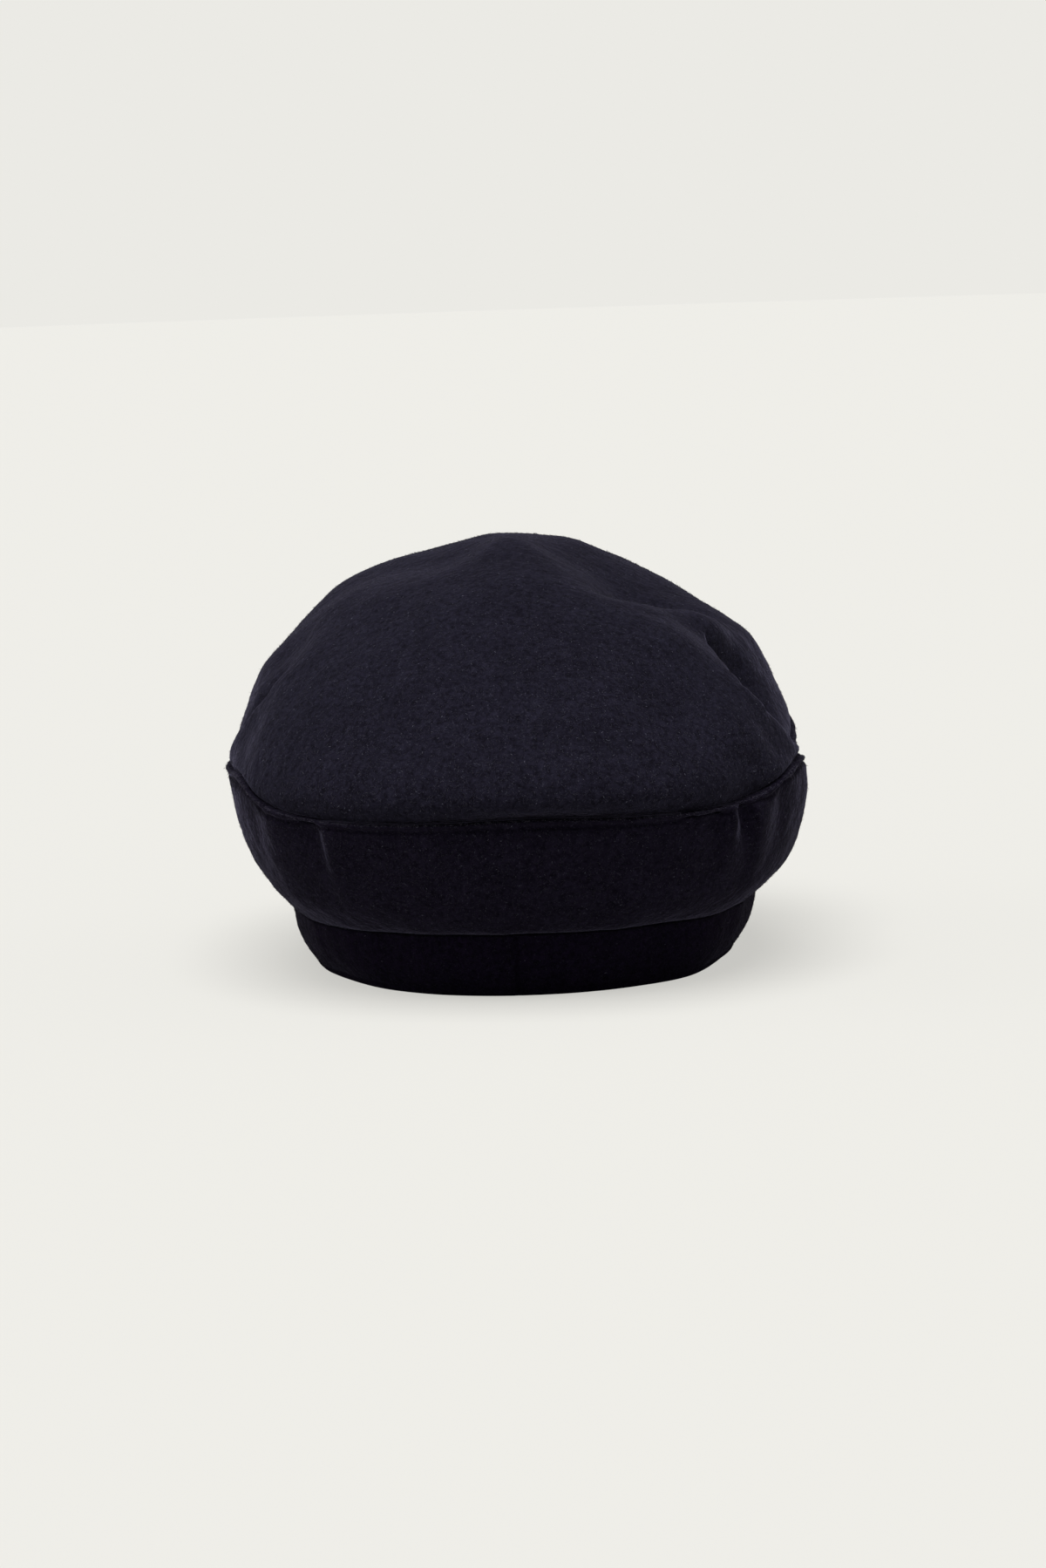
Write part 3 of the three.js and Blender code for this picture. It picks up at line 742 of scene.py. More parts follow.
def seam_relief(azimuth, below):
    """Push at a distance below the crown seam: a welt, the dip of the stitches, and puckers."""
    welt = WELT_HEIGHT * np.exp(-(((below - WELT_MIDDLE) / WELT_SPREAD) ** 2))
    dip = STITCH_DIP * np.exp(-(((below - STITCH_LINE) / STITCH_DIP_SPREAD) ** 2))
    # the length of the seam in puckers, times the share of a full turn that the azimuth is
    half_waves = azimuth * 2 * math.pi * SEAM_RADIUS / PUCKER_LENGTH / (2 * math.pi)
    drift = PUCKER_DRIFT * np.sin(azimuth * DRIFT_TURNS)
    wave = np.sin(half_waves * math.pi + drift)
    strength = 1 - PUCKER_UNEVEN + PUCKER_UNEVEN * np.sin(azimuth * UNEVEN_TURNS)
    fade = np.exp(-(((below - STITCH_LINE) / PUCKER_SPREAD) ** 2))
    pucker = PUCKER_DEPTH * (wave * strength) * fade
    return welt - dip + pucker


def drape_ring(pattern):
    azimuth = crowd_to_back(np.arctan2(pattern[:, 0], pattern[:, 1]))
    height = pattern[:, 2]
    level = np.interp(1 - (1 - np.clip(height, 0, 1)) ** ROW_CROWDING, *RING_SHARES)
    seam = float(SEAM_LEVEL)
    bend = ring_bend(azimuth)
    low_turned = -height / TURN_STEP * TURNED_IN / TURN_ROWS
    high_turned = (height - 1) / TURN_STEP * TURNED_IN / TURN_ROWS
    low_size = per_level(ring_face, azimuth, 0.0, 1)
    high_size = per_level(ring_face, azimuth, seam, -1)
    low_past = np.where(height < -TINY, low_turned, -level * low_size)
    high_past = np.where(height > 1 + TINY, high_turned, (level - SEAM_LEVEL) * high_size)
    low_edge = turned_edge(ring_face, azimuth, low_past, 0.0, 1, SEAM_GAP / 2, TOP_BEND)
    high_edge = turned_edge(ring_face, azimuth, high_past, seam, -1, -SEAM_GAP / 2, bend)
    points = np.where(low_past[:, None] > -TOP_BEND, low_edge, ring_face(azimuth, level))
    points = np.where((high_past > -bend)[:, None], high_edge, points)
    push = np.where(high_past < 0, seam_relief(azimuth, -high_past), 0)
    return points + unit(points - CROWN_MIDDLE) * push[:, None]


ring_pattern = read_points(ring)
write_points(ring, to_metres(drape_ring(ring_pattern)))
ring_cloth = outer_faces(ring, ring_pattern, 0.0, 1.0)
welt_cloth = outer_faces(ring, ring_pattern, WELT_STARTS, 1.0)
add_wall(ring, CLOTH)
bpy.ops.object.shade_smooth()
describe(ring)

# %% [markdown]
# ## The headband
#
# The headband is a strip folded double: its outer layer runs down to the lower edge, folds under and
# comes back up inside. As a pattern it is one tube again, longer than the band is high. The two ends of
# the strip meet at the centre of the back, a little to the left in the photograph, and the tube's sides
# are crowded together there, so that the seam's narrow groove has points to be cut from.

# %% Pattern of the headband
BAND_FOOT = (79.0, 96.0, 2.1)  # half width, half length, squareness of the tucked-in lower edge
# azimuth, push, spread in degrees: where the lower edge stands a little out or in
BAND_FOOT_PUSHES = np.array([[50, -2.0, 9], [322, 2.6, 9], [297, -2.0, 8]])
BAND_FRONT_LIFT = 14.0  # the lower edge rises this much towards the peak
BAND_LIFT_STARTS = 0.35  # cosine of the azimuth where it starts to rise
BAND_TUCK = 0.75  # under 1, the band bulges between its lower edge and the ring
BAND_THICKNESS = 4.5
BAND_SIDES = 480
BAND_CUTS = 21
FOLD_ROWS = 10  # rows of faces round the fold under the band
INSIDE_ROWS = 20  # and up its inner layer
BACK_SEAM_AZIMUTH = math.radians(1.9)

band = add_tube("headband_wool", BAND_SIDES, BAND_CUTS)
extrude_rows(band, 0.0, FOLD_ROWS + INSIDE_ROWS, -TURN_STEP)
describe(band)

# %% Drape the headband
FOLD_RADIUS = BAND_THICKNESS / 2
BAND_CLOTH = CLOTH + 0.2
ROWS_WITH_NAP = 4  # rows of the fold that still show from outside
SEAM_CROWDING = 0.75
SEAM_CROWDED_OVER = 0.12  # radians
BACK_SEAM_DEPTH = 1.1
BACK_SEAM_WIDTH = 0.65
BACK_WELT_HEIGHT = 0.3
BACK_WELT_AWAY = 2.0  # the seam has a low welt this far to each side of it
BACK_WELT_SPREAD = 1.2
HALF_WAY_UP = 0.5
LONG_BAND_RIPPLES = (30.0, 0.2, 3)  # wavelength, height, seed
SHORT_BAND_RIPPLES = (11.0, 0.08, 4)


def crowd_to_seam(azimuth):
    """Moves azimuths towards the back seam, where more points are needed."""
    off = (azimuth - BACK_SEAM_AZIMUTH + math.pi) % (2 * math.pi) - math.pi
    return BACK_SEAM_AZIMUTH + off * (1 - SEAM_CROWDING * np.exp(-((off / SEAM_CROWDED_OVER) ** 2)))


def band_face(azimuth, up):
    """The outer face of the band: up is 0 at its lower edge and 1 at the seam with the ring."""
    azimuth, up = np.broadcast_arrays(azimuth, np.asarray(up, float))
    s, c = np.sin(azimuth), np.cos(azimuth)
    half_width, half_length, squareness = BAND_FOOT
    across = np.abs(s / half_width) ** squareness
    along = np.abs(c / half_length) ** squareness
    reach = (across + along) ** (-1 / squareness)
    for centre, push, spread in BAND_FOOT_PUSHES:
        reach = reach + push * np.exp(-((degrees_from(azimuth, centre) / spread) ** 2) / 2)
    rise = np.clip((BAND_LIFT_STARTS - c) / (1 + BAND_LIFT_STARTS), 0, 1)
    lift = BAND_FRONT_LIFT * rise * rise * (3 - 2 * rise)
    foot = np.stack([reach * s, reach * c, lift], -1)
    head = ring_face(azimuth, 0.0)
    out = np.sin(np.clip(up, 0, 1) * math.pi / 2)[..., None] ** BAND_TUCK
    points = foot + (head - foot) * out
    points[..., 2] = foot[..., 2] + (head[..., 2] - foot[..., 2]) * up
    return points


def drape_band(pattern):
    azimuth = crowd_to_seam(np.arctan2(pattern[:, 0], pattern[:, 1]))
    height = pattern[:, 2]
    row = -height / TURN_STEP
    tall = band_face(azimuth, 1.0)[:, 2] - band_face(azimuth, 0.0)[:, 2] - SEAM_GAP / 2
    fold_up = FOLD_RADIUS / tall
    fold = np.clip(row / FOLD_ROWS, 0, 1) * math.pi
    back_up = np.clip((row - FOLD_ROWS) / INSIDE_ROWS, 0, 1)
    share = np.where(height >= 0, height, back_up)
    points = band_face(azimuth, fold_up + (1 - fold_up) * share)
    points[:, 2] = np.minimum(points[:, 2], band_face(azimuth, 1.0)[:, 2] - SEAM_GAP / 2)
    inwards = inward(band_face, azimuth, HALF_WAY_UP)
    points += inwards * (FOLD_RADIUS * (1 - np.cos(fold)))[:, None]
    points -= UP * (FOLD_RADIUS * np.sin(fold))[:, None]
    off = (azimuth - BACK_SEAM_AZIMUTH) * BAND_FOOT[1]
    groove = BACK_SEAM_DEPTH * np.exp(-((off / BACK_SEAM_WIDTH) ** 2))
    welts = BACK_WELT_HEIGHT * np.exp(-(((np.abs(off) - BACK_WELT_AWAY) / BACK_WELT_SPREAD) ** 2))
    outside = np.clip(1 - row / FOLD_ROWS * 2, 0, 1)  # the relief ends half way round the fold
    uneven = ripples(points, *LONG_BAND_RIPPLES) + ripples(points, *SHORT_BAND_RIPPLES)
    return points - inwards * ((welts - groove + uneven) * outside)[:, None]


band_pattern = read_points(band)
write_points(band, to_metres(drape_band(band_pattern)))
band_cloth = outer_faces(band, band_pattern, -TURN_STEP * ROWS_WITH_NAP, 1.0)
add_wall(band, BAND_CLOTH)
bpy.ops.object.shade_smooth()
describe(band)
print("lowest point of the band:", round(read_points(band)[:, 2].min() / MM, 2), "mm")

# %% [markdown]
# ## The peak
#
# The peak is a stiff board between two layers of wool. Its flat pattern is a grid: one side becomes the
# root under the headband, the opposite side becomes the rim. The board's thickness is added at the end,
# and a bevel rounds the rim the way wool rounds over a board.

# %% Pattern of the peak
PEAK_COLUMNS = 180
PEAK_ROWS = 36

begin()
bpy.ops.mesh.primitive_grid_add(x_subdivisions=PEAK_COLUMNS, y_subdivisions=PEAK_ROWS, size=2)
peak = bpy.context.object
peak.name = "peak_wool"
print("the peak's pattern has", len(peak.data.polygons), "squares")

# %% Shape of the peak
PEAK_HALF_ANGLE = math.radians(62.0)
PEAK_DEPTH = 48.0
PEAK_HALF_WIDTH = 76.5
PEAK_SQUARENESS = 2.35
PEAK_THICKNESS = 4.0
PEAK_ROOT_WIDTH = 4.0
PEAK_RIM_ARCH = 5.0
PEAK_CROWN = 3.0  # the board rises this much between root and rim
ROOT_SHARE = 0.1  # this much of the pattern is the strip under the band
RIM_FRONT = BAND_FOOT[1] + PEAK_DEPTH
HORN_STARTS = 0.86  # beyond this share of the half pattern the rim closes in on the band
HORN_CLOSED = 0.8  # but not wholly, because faces without any area would spoil the wall


def rim_point(turn):
    """The rim, from one horn at -90 degrees over the front to the other horn."""
    horn_y = band_face(math.pi - PEAK_HALF_ANGLE, 0.0)[1]
    side = np.sign(turn) * np.abs(np.sin(turn)) ** (2 / PEAK_SQUARENESS)
    forward = np.clip(np.cos(turn), 0, 1) ** (2 / PEAK_SQUARENESS)
    y = horn_y + (-RIM_FRONT - horn_y) * forward
    return np.stack([-PEAK_HALF_WIDTH * side, y, PEAK_RIM_ARCH * np.cos(2 * turn) ** 2], -1)


def drape_peak(pattern):
    """The upper face of the peak."""
    across = pattern[:, 0]
    out = (pattern[:, 1] + 1) / 2
    azimuth = math.pi + across * PEAK_HALF_ANGLE
    turn = across * math.pi / 2
    run = np.clip((out - ROOT_SHARE) / (1 - ROOT_SHARE), 0, 1)
    under_band = PEAK_ROOT_WIDTH * np.clip(1 - out / ROOT_SHARE, 0, 1)
    root = band_face(azimuth, 0.0) - UP * SEAM_GAP
    root = root + inward(band_face, azimuth, 0.0) * under_band[:, None]
    rim = rim_point(turn) + UP * PEAK_THICKNESS
    closing = HORN_CLOSED * np.clip((np.abs(across) - HORN_STARTS) / (1 - HORN_STARTS), 0, 1) ** 2
    rim += (band_face(azimuth, 0.0) - UP * SEAM_GAP - rim) * closing[:, None]
    points = root + (rim - root) * run[:, None]
    points[:, 2] += PEAK_CROWN * np.cos(turn) * np.sin(math.pi * run)
    return points


peak_pattern = read_points(peak)
write_points(peak, to_metres(drape_peak(peak_pattern)))
bpy.ops.object.mode_set(mode="EDIT")
bpy.ops.mesh.select_all(action="SELECT")
bpy.ops.mesh.normals_make_consistent(inside=False)
bpy.ops.object.mode_set(mode="OBJECT")
middle_face = peak.data.polygons[PEAK_COLUMNS * PEAK_ROWS // 2]
print("the peak's upper face looks up:", middle_face.normal.z > 0)
peak_cloth = outer_faces(peak, peak_pattern, -1.0, 1.0)

# %% Thickness and rim of the peak
RIM_BEVEL = 1.7
BEVEL_ROWS = 5
SHARP_EDGE = math.radians(45)  # edges sharper than this are rounded

add_wall(peak, PEAK_THICKNESS)
bpy.ops.object.modifier_add(type="BEVEL")
rim_bevel = peak.modifiers[-1]
rim_bevel.width = RIM_BEVEL * MM
rim_bevel.segments = BEVEL_ROWS
rim_bevel.limit_method = "ANGLE"
rim_bevel.angle_limit = SHARP_EDGE
bpy.ops.object.modifier_apply(modifier=rim_bevel.name)
bpy.ops.object.shade_smooth()
describe(peak)

# %% [markdown]
# ## Stitches
#
# One stitch is modelled: a ball stretched to a short plump thread. It is then copied along a line, each
# copy with points of its own, and all copies are joined into one piece. The same helper copies the
# fibres of the nap further down. It takes one frame for each copy: where it lies, which way it runs and
# which way its own Z points.
#
# The thread ends up at the inner face of the ring's cloth, close under the crown seam. From outside the
# stitching shows as the dip and the puckers that were given to the ring.

# %% A helper that copies a small model many times
def copies(name, model, places, along, outward, scale, bend=None):
    """One mesh of many copies of a small model. The model lies along its own X, and each copy is scaled
    along its three axes, and bent sideways if asked. Places are in metres."""
    points = read_points(model)
    count = len(places)
    local = points[None] * scale[:, None, :]
    if bend is not None:
        local[:, :, 1] += bend[:, None] * local[:, :, 0] ** 2
    sideways = unit(np.cross(outward, along))
    world = (
        places[:, None]
        + local[:, :, :1] * along[:, None]
        + local[:, :, 1:2] * sideways[:, None]
        + local[:, :, 2:] * outward[:, None]
    )
    mesh = bpy.data.meshes.new(name)
    faces = [tuple(face.vertices) for face in model.data.polygons]
    corners = np.concatenate([np.array(face) for face in faces])
    sizes = np.array([len(face) for face in faces])
    loops = (corners[None] + np.arange(count)[:, None] * len(points)).ravel()
    starts = np.concatenate([[0], np.cumsum(np.tile(sizes, count))[:-1]])
    mesh.vertices.add(count * len(points))
    mesh.vertices.foreach_set("co", world.ravel())
    mesh.loops.add(len(loops))
    mesh.loops.foreach_set("vertex_index", loops)
    mesh.polygons.add(len(starts))
    mesh.polygons.foreach_set("loop_start", starts)
    mesh.update(calc_edges=True)
    mesh.validate()
    piece = bpy.data.objects.new(name, mesh)
    bpy.context.scene.collection.objects.link(piece)
    return piece


def remove(piece):
    bpy.data.objects.remove(piece)


# %% One stitch
STITCH_SIDES = 8
STITCH_RINGS = 6

begin()
bpy.ops.mesh.primitive_uv_sphere_add(segments=STITCH_SIDES, ring_count=STITCH_RINGS, radius=0.5)
bpy.ops.transform.rotate(value=math.pi / 2, orient_axis="Y", center_override=(0, 0, 0))
bpy.ops.object.transform_apply(rotation=True)
stitch = bpy.context.object
stitch.name = "one_stitch"
print("a stitch has", len(stitch.data.polygons), "faces")

# %% Stitches along the crown seam
STITCH_LENGTH = 2.4
STITCH_SPACING = 2.9
STITCH_WIDTH = 0.42
STITCH_ASIDE = 0.14  # each stitch lies this far to one side of the line
SEAM_SAMPLES = 4001


def seam_line(azimuth):
    """The line of stitches, in millimetres: where the bend of the ring begins, pushed in with the dip."""
    past = np.full_like(azimuth, -STITCH_LINE)
    bend = ring_bend(azimuth)
    points = turned_edge(ring_face, azimuth, past, float(SEAM_LEVEL), -1, -SEAM_GAP / 2, bend)
    return points + unit(points - CROWN_MIDDLE) * seam_relief(azimuth, -past)[:, None]


fine = np.linspace(0, 2 * math.pi, SEAM_SAMPLES)
line = seam_line(fine)
run = np.concatenate([[0], np.cumsum(np.linalg.norm(np.diff(line, axis=0), axis=1))])
stitch_count = int(run[-1] / STITCH_SPACING)
middles = np.interp((np.arange(stitch_count) + 0.5) * run[-1] / stitch_count, run, fine)
stitch_places = seam_line(middles)
stitch_along = unit(seam_line(middles + SLOPE_STEP) - seam_line(middles - SLOPE_STEP))
below_seam = np.full_like(middles, -STITCH_LINE)
bare_cloth = turned_edge(ring_face, middles, below_seam, float(SEAM_LEVEL), -1, 0, RING_BEND)
stitch_across = unit(np.cross(stitch_along, stitch_places - bare_cloth))
stitch_across *= np.sign((stitch_across * (stitch_places - CROWN_MIDDLE)).sum(1))[:, None]
stitch_scale = np.tile([STITCH_LENGTH, STITCH_WIDTH, STITCH_WIDTH], (stitch_count, 1)) * MM
stitches = copies(
    "seam_stitches",
    stitch,
    to_metres(stitch_places - stitch_across * STITCH_ASIDE),
    stitch_along,
    stitch_across,
    stitch_scale,
)
remove(stitch)
describe(stitches)
print(stitch_count, "stitches over", round(run[-1]), "mm")

# %% [markdown]
# ## Wool that looks like wool
#
# Felted wool is matt and almost black, with a faint violet cast. Its surface is a short tangle of
# fibres: it glints nowhere, but where the cloth turns away from the eye the fibres stand against the
# light and the edge looks paler. A sheen layer gives that paler edge. Noise in four sizes gives the
# cloudy unevenness of the dye, the lumps and the grain of the felt, and the pale ends of single fibres.
# Object coordinates are used, so that the grain has one scale on every piece. The nodes are laid by
# three small helpers, because each kind of node comes back several times.

# %% Helpers that lay nodes
def link_noise(nodes, links, coordinates, scale, detail, roughness, distortion):
    noise = nodes.new("ShaderNodeTexNoise")
    noise.inputs["Scale"].default_value = scale
    noise.inputs["Detail"].default_value = detail
    noise.inputs["Roughness"].default_value = roughness
    noise.inputs["Distortion"].default_value = distortion
    links.new(coordinates, noise.inputs["Vector"])
    return noise.outputs["Fac"]


def link_range(nodes, links, value, low, high, to_low, to_high):
    spread = nodes.new("ShaderNodeMapRange")
    spread.inputs["From Min"].default_value = low
    spread.inputs["From Max"].default_value = high
    spread.inputs["To Min"].default_value = to_low
    spread.inputs["To Max"].default_value = to_high
    links.new(value, spread.inputs["Value"])
    return spread.outputs["Result"]


def link_mix(nodes, links, share, dark, light):
    mix = nodes.new("ShaderNodeMix")
    mix.data_type = "RGBA"
    links.new(share, mix.inputs["Factor"])
    for socket, colour in ((mix.inputs["A"], dark), (mix.inputs["B"], light)):
        if isinstance(colour, tuple):
            socket.default_value = (*colour, 1)
        else:
            links.new(colour, socket)
    return mix.outputs["Result"]


# %% The wool material
# scale per metre, detail, roughness and distortion of each noise
CLOUDS = (70.0, 3.0, 0.6, 0.0)
LUMPS = (280.0, 2.0, 0.5, 0.0)
GRAIN = (520.0, 4.0, 0.7, 0.6)
FIBRE_ENDS = (1900.0, 1.0, 0.5, 1.5)
# lowest and highest value of the noise that count, and what they become
CLOUD_TONES = (0.3, 0.7, 0.65, 1.0)
GRAIN_TONES = (0.35, 0.66, 0.18, 1.0)
FLECKS = (0.66, 0.74, 0.0, 1.0)
LUMP_HEIGHT = 1.6  # times the height of the grain
BUMP_STRENGTH = 0.6
BUMP_DISTANCE = 0.5  # millimetres
WOOL_ROUGHNESS = 0.95
WOOL_GLOSS = 0.03
SHEEN_ROUGHNESS = 0.22
SHEEN_TINT = (0.62, 0.58, 0.9)


def felted_wool(name, dark, light, fibre, sheen):
    material = bpy.data.materials.new(name)
    material.use_nodes = True
    nodes, links = material.node_tree.nodes, material.node_tree.links
    shader = nodes["Principled BSDF"]
    shader.inputs["Roughness"].default_value = WOOL_ROUGHNESS
    shader.inputs["Specular IOR Level"].default_value = WOOL_GLOSS
    shader.inputs["Sheen Weight"].default_value = sheen
    shader.inputs["Sheen Roughness"].default_value = SHEEN_ROUGHNESS
    shader.inputs["Sheen Tint"].default_value = (*SHEEN_TINT, 1)
    place = nodes.new("ShaderNodeTexCoord").outputs["Object"]
    clouds = link_noise(nodes, links, place, *CLOUDS)
    grain = link_noise(nodes, links, place, *GRAIN)
    lumps = link_noise(nodes, links, place, *LUMPS)
    ends = link_noise(nodes, links, place, *FIBRE_ENDS)
    shade = nodes.new("ShaderNodeMath")
    shade.operation = "MULTIPLY"
    links.new(link_range(nodes, links, clouds, *CLOUD_TONES), shade.inputs[0])
    links.new(link_range(nodes, links, grain, *GRAIN_TONES), shade.inputs[1])
    body = link_mix(nodes, links, shade.outputs["Value"], dark, light)
    flecks = link_range(nodes, links, ends, *FLECKS)
    links.new(link_mix(nodes, links, flecks, body, fibre), shader.inputs["Base Color"])
    height = nodes.new("ShaderNodeMath")
    height.operation = "MULTIPLY_ADD"
    links.new(lumps, height.inputs[0])
    height.inputs[1].default_value = LUMP_HEIGHT
    links.new(grain, height.inputs[2])
    bump = nodes.new("ShaderNodeBump")
    bump.inputs["Strength"].default_value = BUMP_STRENGTH
    bump.inputs["Distance"].default_value = BUMP_DISTANCE * MM
    links.new(height.outputs["Value"], bump.inputs["Height"])
    links.new(bump.outputs["Normal"], shader.inputs["Normal"])
    return material


# dark and light of the cloth, and the ends of its fibres. All four are one wool: the side copy, on the
# ring and the peak, is darker than the top's, and the band's darker still, as painted shade of the
# top's overhang on the ring and of the ring's overhang on the tucked band
TOP_TONES = ((0.0024, 0.002, 0.004), (0.0158, 0.0145, 0.0265), (0.05, 0.05, 0.07))
SIDE_TONES = ((0.0015, 0.001, 0.003), (0.0106, 0.0083, 0.0178), (0.04, 0.04, 0.055))
BAND_SHADED_TONES = ((0.0008, 0.0004, 0.0018), (0.0076, 0.0045, 0.0138), (0.02, 0.02, 0.03))
TOP_WOOL = felted_wool("crown_top_felt", *TOP_TONES, 0.19)
RING_WOOL = felted_wool("crown_ring_felt", *SIDE_TONES, 0.2)
BAND_WOOL = felted_wool("headband_felt", *BAND_SHADED_TONES, 0.12)
PEAK_WOOL = felted_wool("peak_felt", *SIDE_TONES, 0.2)
print("wool materials:", [m.name for m in (TOP_WOOL, RING_WOOL, BAND_WOOL, PEAK_WOOL)])

# %% [markdown]
# Thread and single fibres are too small to show a pattern, so each kind has one plain colour. The nap
# on the welt under the crown seam is paler still: a painted highlight along that edge, which keeps it
# bright in the shade of the overhang.

# %% Thread and fibres
THREAD_ROUGHNESS = 0.7
FIBRE_ROUGHNESS = 0.8
FIBRE_GLOSS = 0.15


def plain_fibre(name, colour, roughness):
    material = bpy.data.materials.new(name)
    material.use_nodes = True
    shader = material.node_tree.nodes["Principled BSDF"]
    shader.inputs["Base Color"].default_value = (*colour, 1)
    shader.inputs["Roughness"].default_value = roughness
    shader.inputs["Specular IOR Level"].default_value = FIBRE_GLOSS
    return material


THREAD = plain_fibre("black_thread", (0.003, 0.0025, 0.004), THREAD_ROUGHNESS)
# nap paler than its cloth is painted sheen, and the ring's and band's nap, darker in steps, painted shade
NAP = {
    "crown": plain_fibre("crown_nap", (0.034, 0.032, 0.046), FIBRE_ROUGHNESS),
    "ring": plain_fibre("ring_nap", (0.016, 0.015, 0.022), FIBRE_ROUGHNESS),
    "band": plain_fibre("band_nap", (0.008, 0.0075, 0.012), FIBRE_ROUGHNESS),
    # the welt's paler nap is a painted highlight along its edge
    "welt": plain_fibre("welt_highlight_nap", (0.07, 0.065, 0.09), FIBRE_ROUGHNESS),
}
LINT = plain_fibre("pale_lint", (0.10, 0.10, 0.135), FIBRE_ROUGHNESS)
print("fibre materials:", [m.name for m in (THREAD, *NAP.values(), LINT)])

# %% [markdown]
# ## Nap and lint
#
# Seen close, felted wool is a lawn of short crooked fibres that lie almost flat, with a few standing up.
# They blur the outline of the cap and show as fine light specks, because their colour is a painted
# sheen, paler than the cloth. One fibre is modelled as a thin three-sided cone with a knee, and
# thousands of copies are spread over the cloth, each with its own length, direction and bend. About a
# thousand paler and thicker ones are the lint that black wool collects.

# %% One fibre
begin()
bpy.ops.mesh.primitive_cone_add(vertices=3, radius1=0.5, radius2=0, depth=1, location=(0, 0, 0.5))
bpy.ops.object.transform_apply(location=True)
fibre = bpy.context.object
fibre.name = "one_fibre"
subdivide_upright(fibre, 1)
write_points(fibre, read_points(fibre)[:, [2, 1, 0]] * (1, 1, -1))  # laid along X
print("a fibre has", len(fibre.data.polygons), "faces")

# %% Fibres spread over the cloth
FIBRE_SCATTER = 0.8  # millimetres to either side of the middle of a face
FIBRE_LENGTHS = (0.4, 1.0)  # shares of the longest fibre
FIBRE_WIDTHS = (0.7, 1.2)
FIBRE_BEND = 0.35
FIBRE_LIFT = 0.02  # millimetres over the cloth


def spread_fibres(name, cloth, count, seed, longest, thickness, lean):
    """Copies of the fibre all over a cloth, in millimetres. Lean is how steeply they stand, in radians."""
    middles, normals, areas = cloth
    rng = np.random.default_rng(seed)
    chosen = rng.choice(len(areas), size=count, p=areas / areas.sum())
    outward = normals[chosen]
    tangent = unit(np.cross(outward, rng.normal(size=(count, 3))))
    places = middles[chosen] + tangent * rng.uniform(-FIBRE_SCATTER, FIBRE_SCATTER, (count, 1)) * MM
    raised = np.abs(rng.normal(0, lean, (count, 1)))
    along = unit(tangent * np.cos(raised) + outward * np.sin(raised))
    length = rng.uniform(*FIBRE_LENGTHS, count) * longest * MM
    thick = rng.uniform(*FIBRE_WIDTHS, count) * thickness * MM
    bend = rng.normal(0, FIBRE_BEND, count) / length
    scale = np.stack([length, thick, thick], -1)
    side = unit(np.cross(along, outward))
    up = np.cross(side, along)
    return copies(name, fibre, places + outward * FIBRE_LIFT * MM, along, up, scale, bend)


# name, cloth, how many, seed, longest, thickness, lean
top_nap = spread_fibres("crown_nap", top_cloth, 17000, 11, 1.7, 0.15, 0.3)
ring_nap = spread_fibres("ring_nap", ring_cloth, 11000, 12, 1.6, 0.15, 0.3)
band_nap = spread_fibres("band_nap", band_cloth, 6000, 13, 1.4, 0.14, 0.25)
peak_nap = spread_fibres("peak_nap", peak_cloth, 2500, 14, 1.4, 0.14, 0.25)
# nap that paints a highlight along the welt
welt_highlight_nap = spread_fibres("welt_highlight_nap", welt_cloth, 2200, 18, 1.2, 0.15, 0.3)
top_lint = spread_fibres("crown_lint", top_cloth, 800, 15, 1.2, 0.27, 0.3)
ring_lint = spread_fibres("ring_lint", ring_cloth, 200, 16, 1.0, 0.22, 0.3)
band_lint = spread_fibres("band_lint", band_cloth, 80, 17, 0.8, 0.2, 0.3)
remove(fibre)
for piece in (top_nap, ring_nap, band_nap, peak_nap, welt_highlight_nap, top_lint, ring_lint, band_lint):
    describe(piece)

# %% [markdown]
# ## Dress the pieces
#
# Each piece gets its wool and rides on the cap's one body. The four sewn pieces take the place of the
# frame's plain solids. Stitches, nap and lint come on top.

# %% Dress the pieces
# piece, material, slot, the nodes it replaces
PIECES = [
    (crown_top, TOP_WOOL, "crown_wool", ["crown_top"]),
    (ring, RING_WOOL, "side_wool", ["crown_side"]),
    (band, BAND_WOOL, "band_wool", ["headband"]),
    (peak, PEAK_WOOL, "peak_wool", ["peak"]),
    (stitches, THREAD, "thread", []),
    (top_nap, NAP["crown"], "crown_wool", []),
    (ring_nap, NAP["ring"], "side_wool", []),
    (band_nap, NAP["band"], "band_wool", []),
    (peak_nap, NAP["ring"], "peak_wool", []),
    (welt_highlight_nap, NAP["welt"], "side_wool", []),
    (top_lint, LINT, "thread", []),
    (ring_lint, LINT, "thread", []),
    (band_lint, LINT, "thread", []),
]
for piece, material, slot, nodes in PIECES:
    piece.data.materials.clear()
    piece.data.materials.append(material)
    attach(piece, "root")
    if nodes:
        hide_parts(*nodes)
    print(piece.name, "wears", material.name)

# %% [markdown]
# ## A plain studio
#
# The cap stands on a wide pale floor of paper. To the camera the paper glows a little by itself, so
# that its tone is even and the shadows stay faint, and up at the horizon the world's colour carries
# on. To the cap it is a darker, plain matt floor, because a floor in full light would throw too much
# light up under the brim of cloth. Seen from below, the paper is clear.

# %% Floor
PAPER = (0.831, 0.823, 0.784)
PAPER_MATT = 0.83  # share of that tone in the part that the lamps light
FLOOR_RADIUS = 8.0
FLOOR_SIDES = 96
FLOOR_DROP = 0.05  # millimetres under the cap
FLOOR_GLOW = 0.66  # share of the paper tone that doesn't depend on the lamps
FLOOR_BOUNCE = 0.7  # the cap sees a darker floor than the camera does


def link_either(nodes, links, switch, off, on):
    """One shader where the switch is 0 and another where it is 1."""
    mix = nodes.new("ShaderNodeMixShader")
    links.new(switch, mix.inputs["Fac"])
    links.new(off, mix.inputs[1])
    links.new(on, mix.inputs[2])
    return mix.outputs["Shader"]


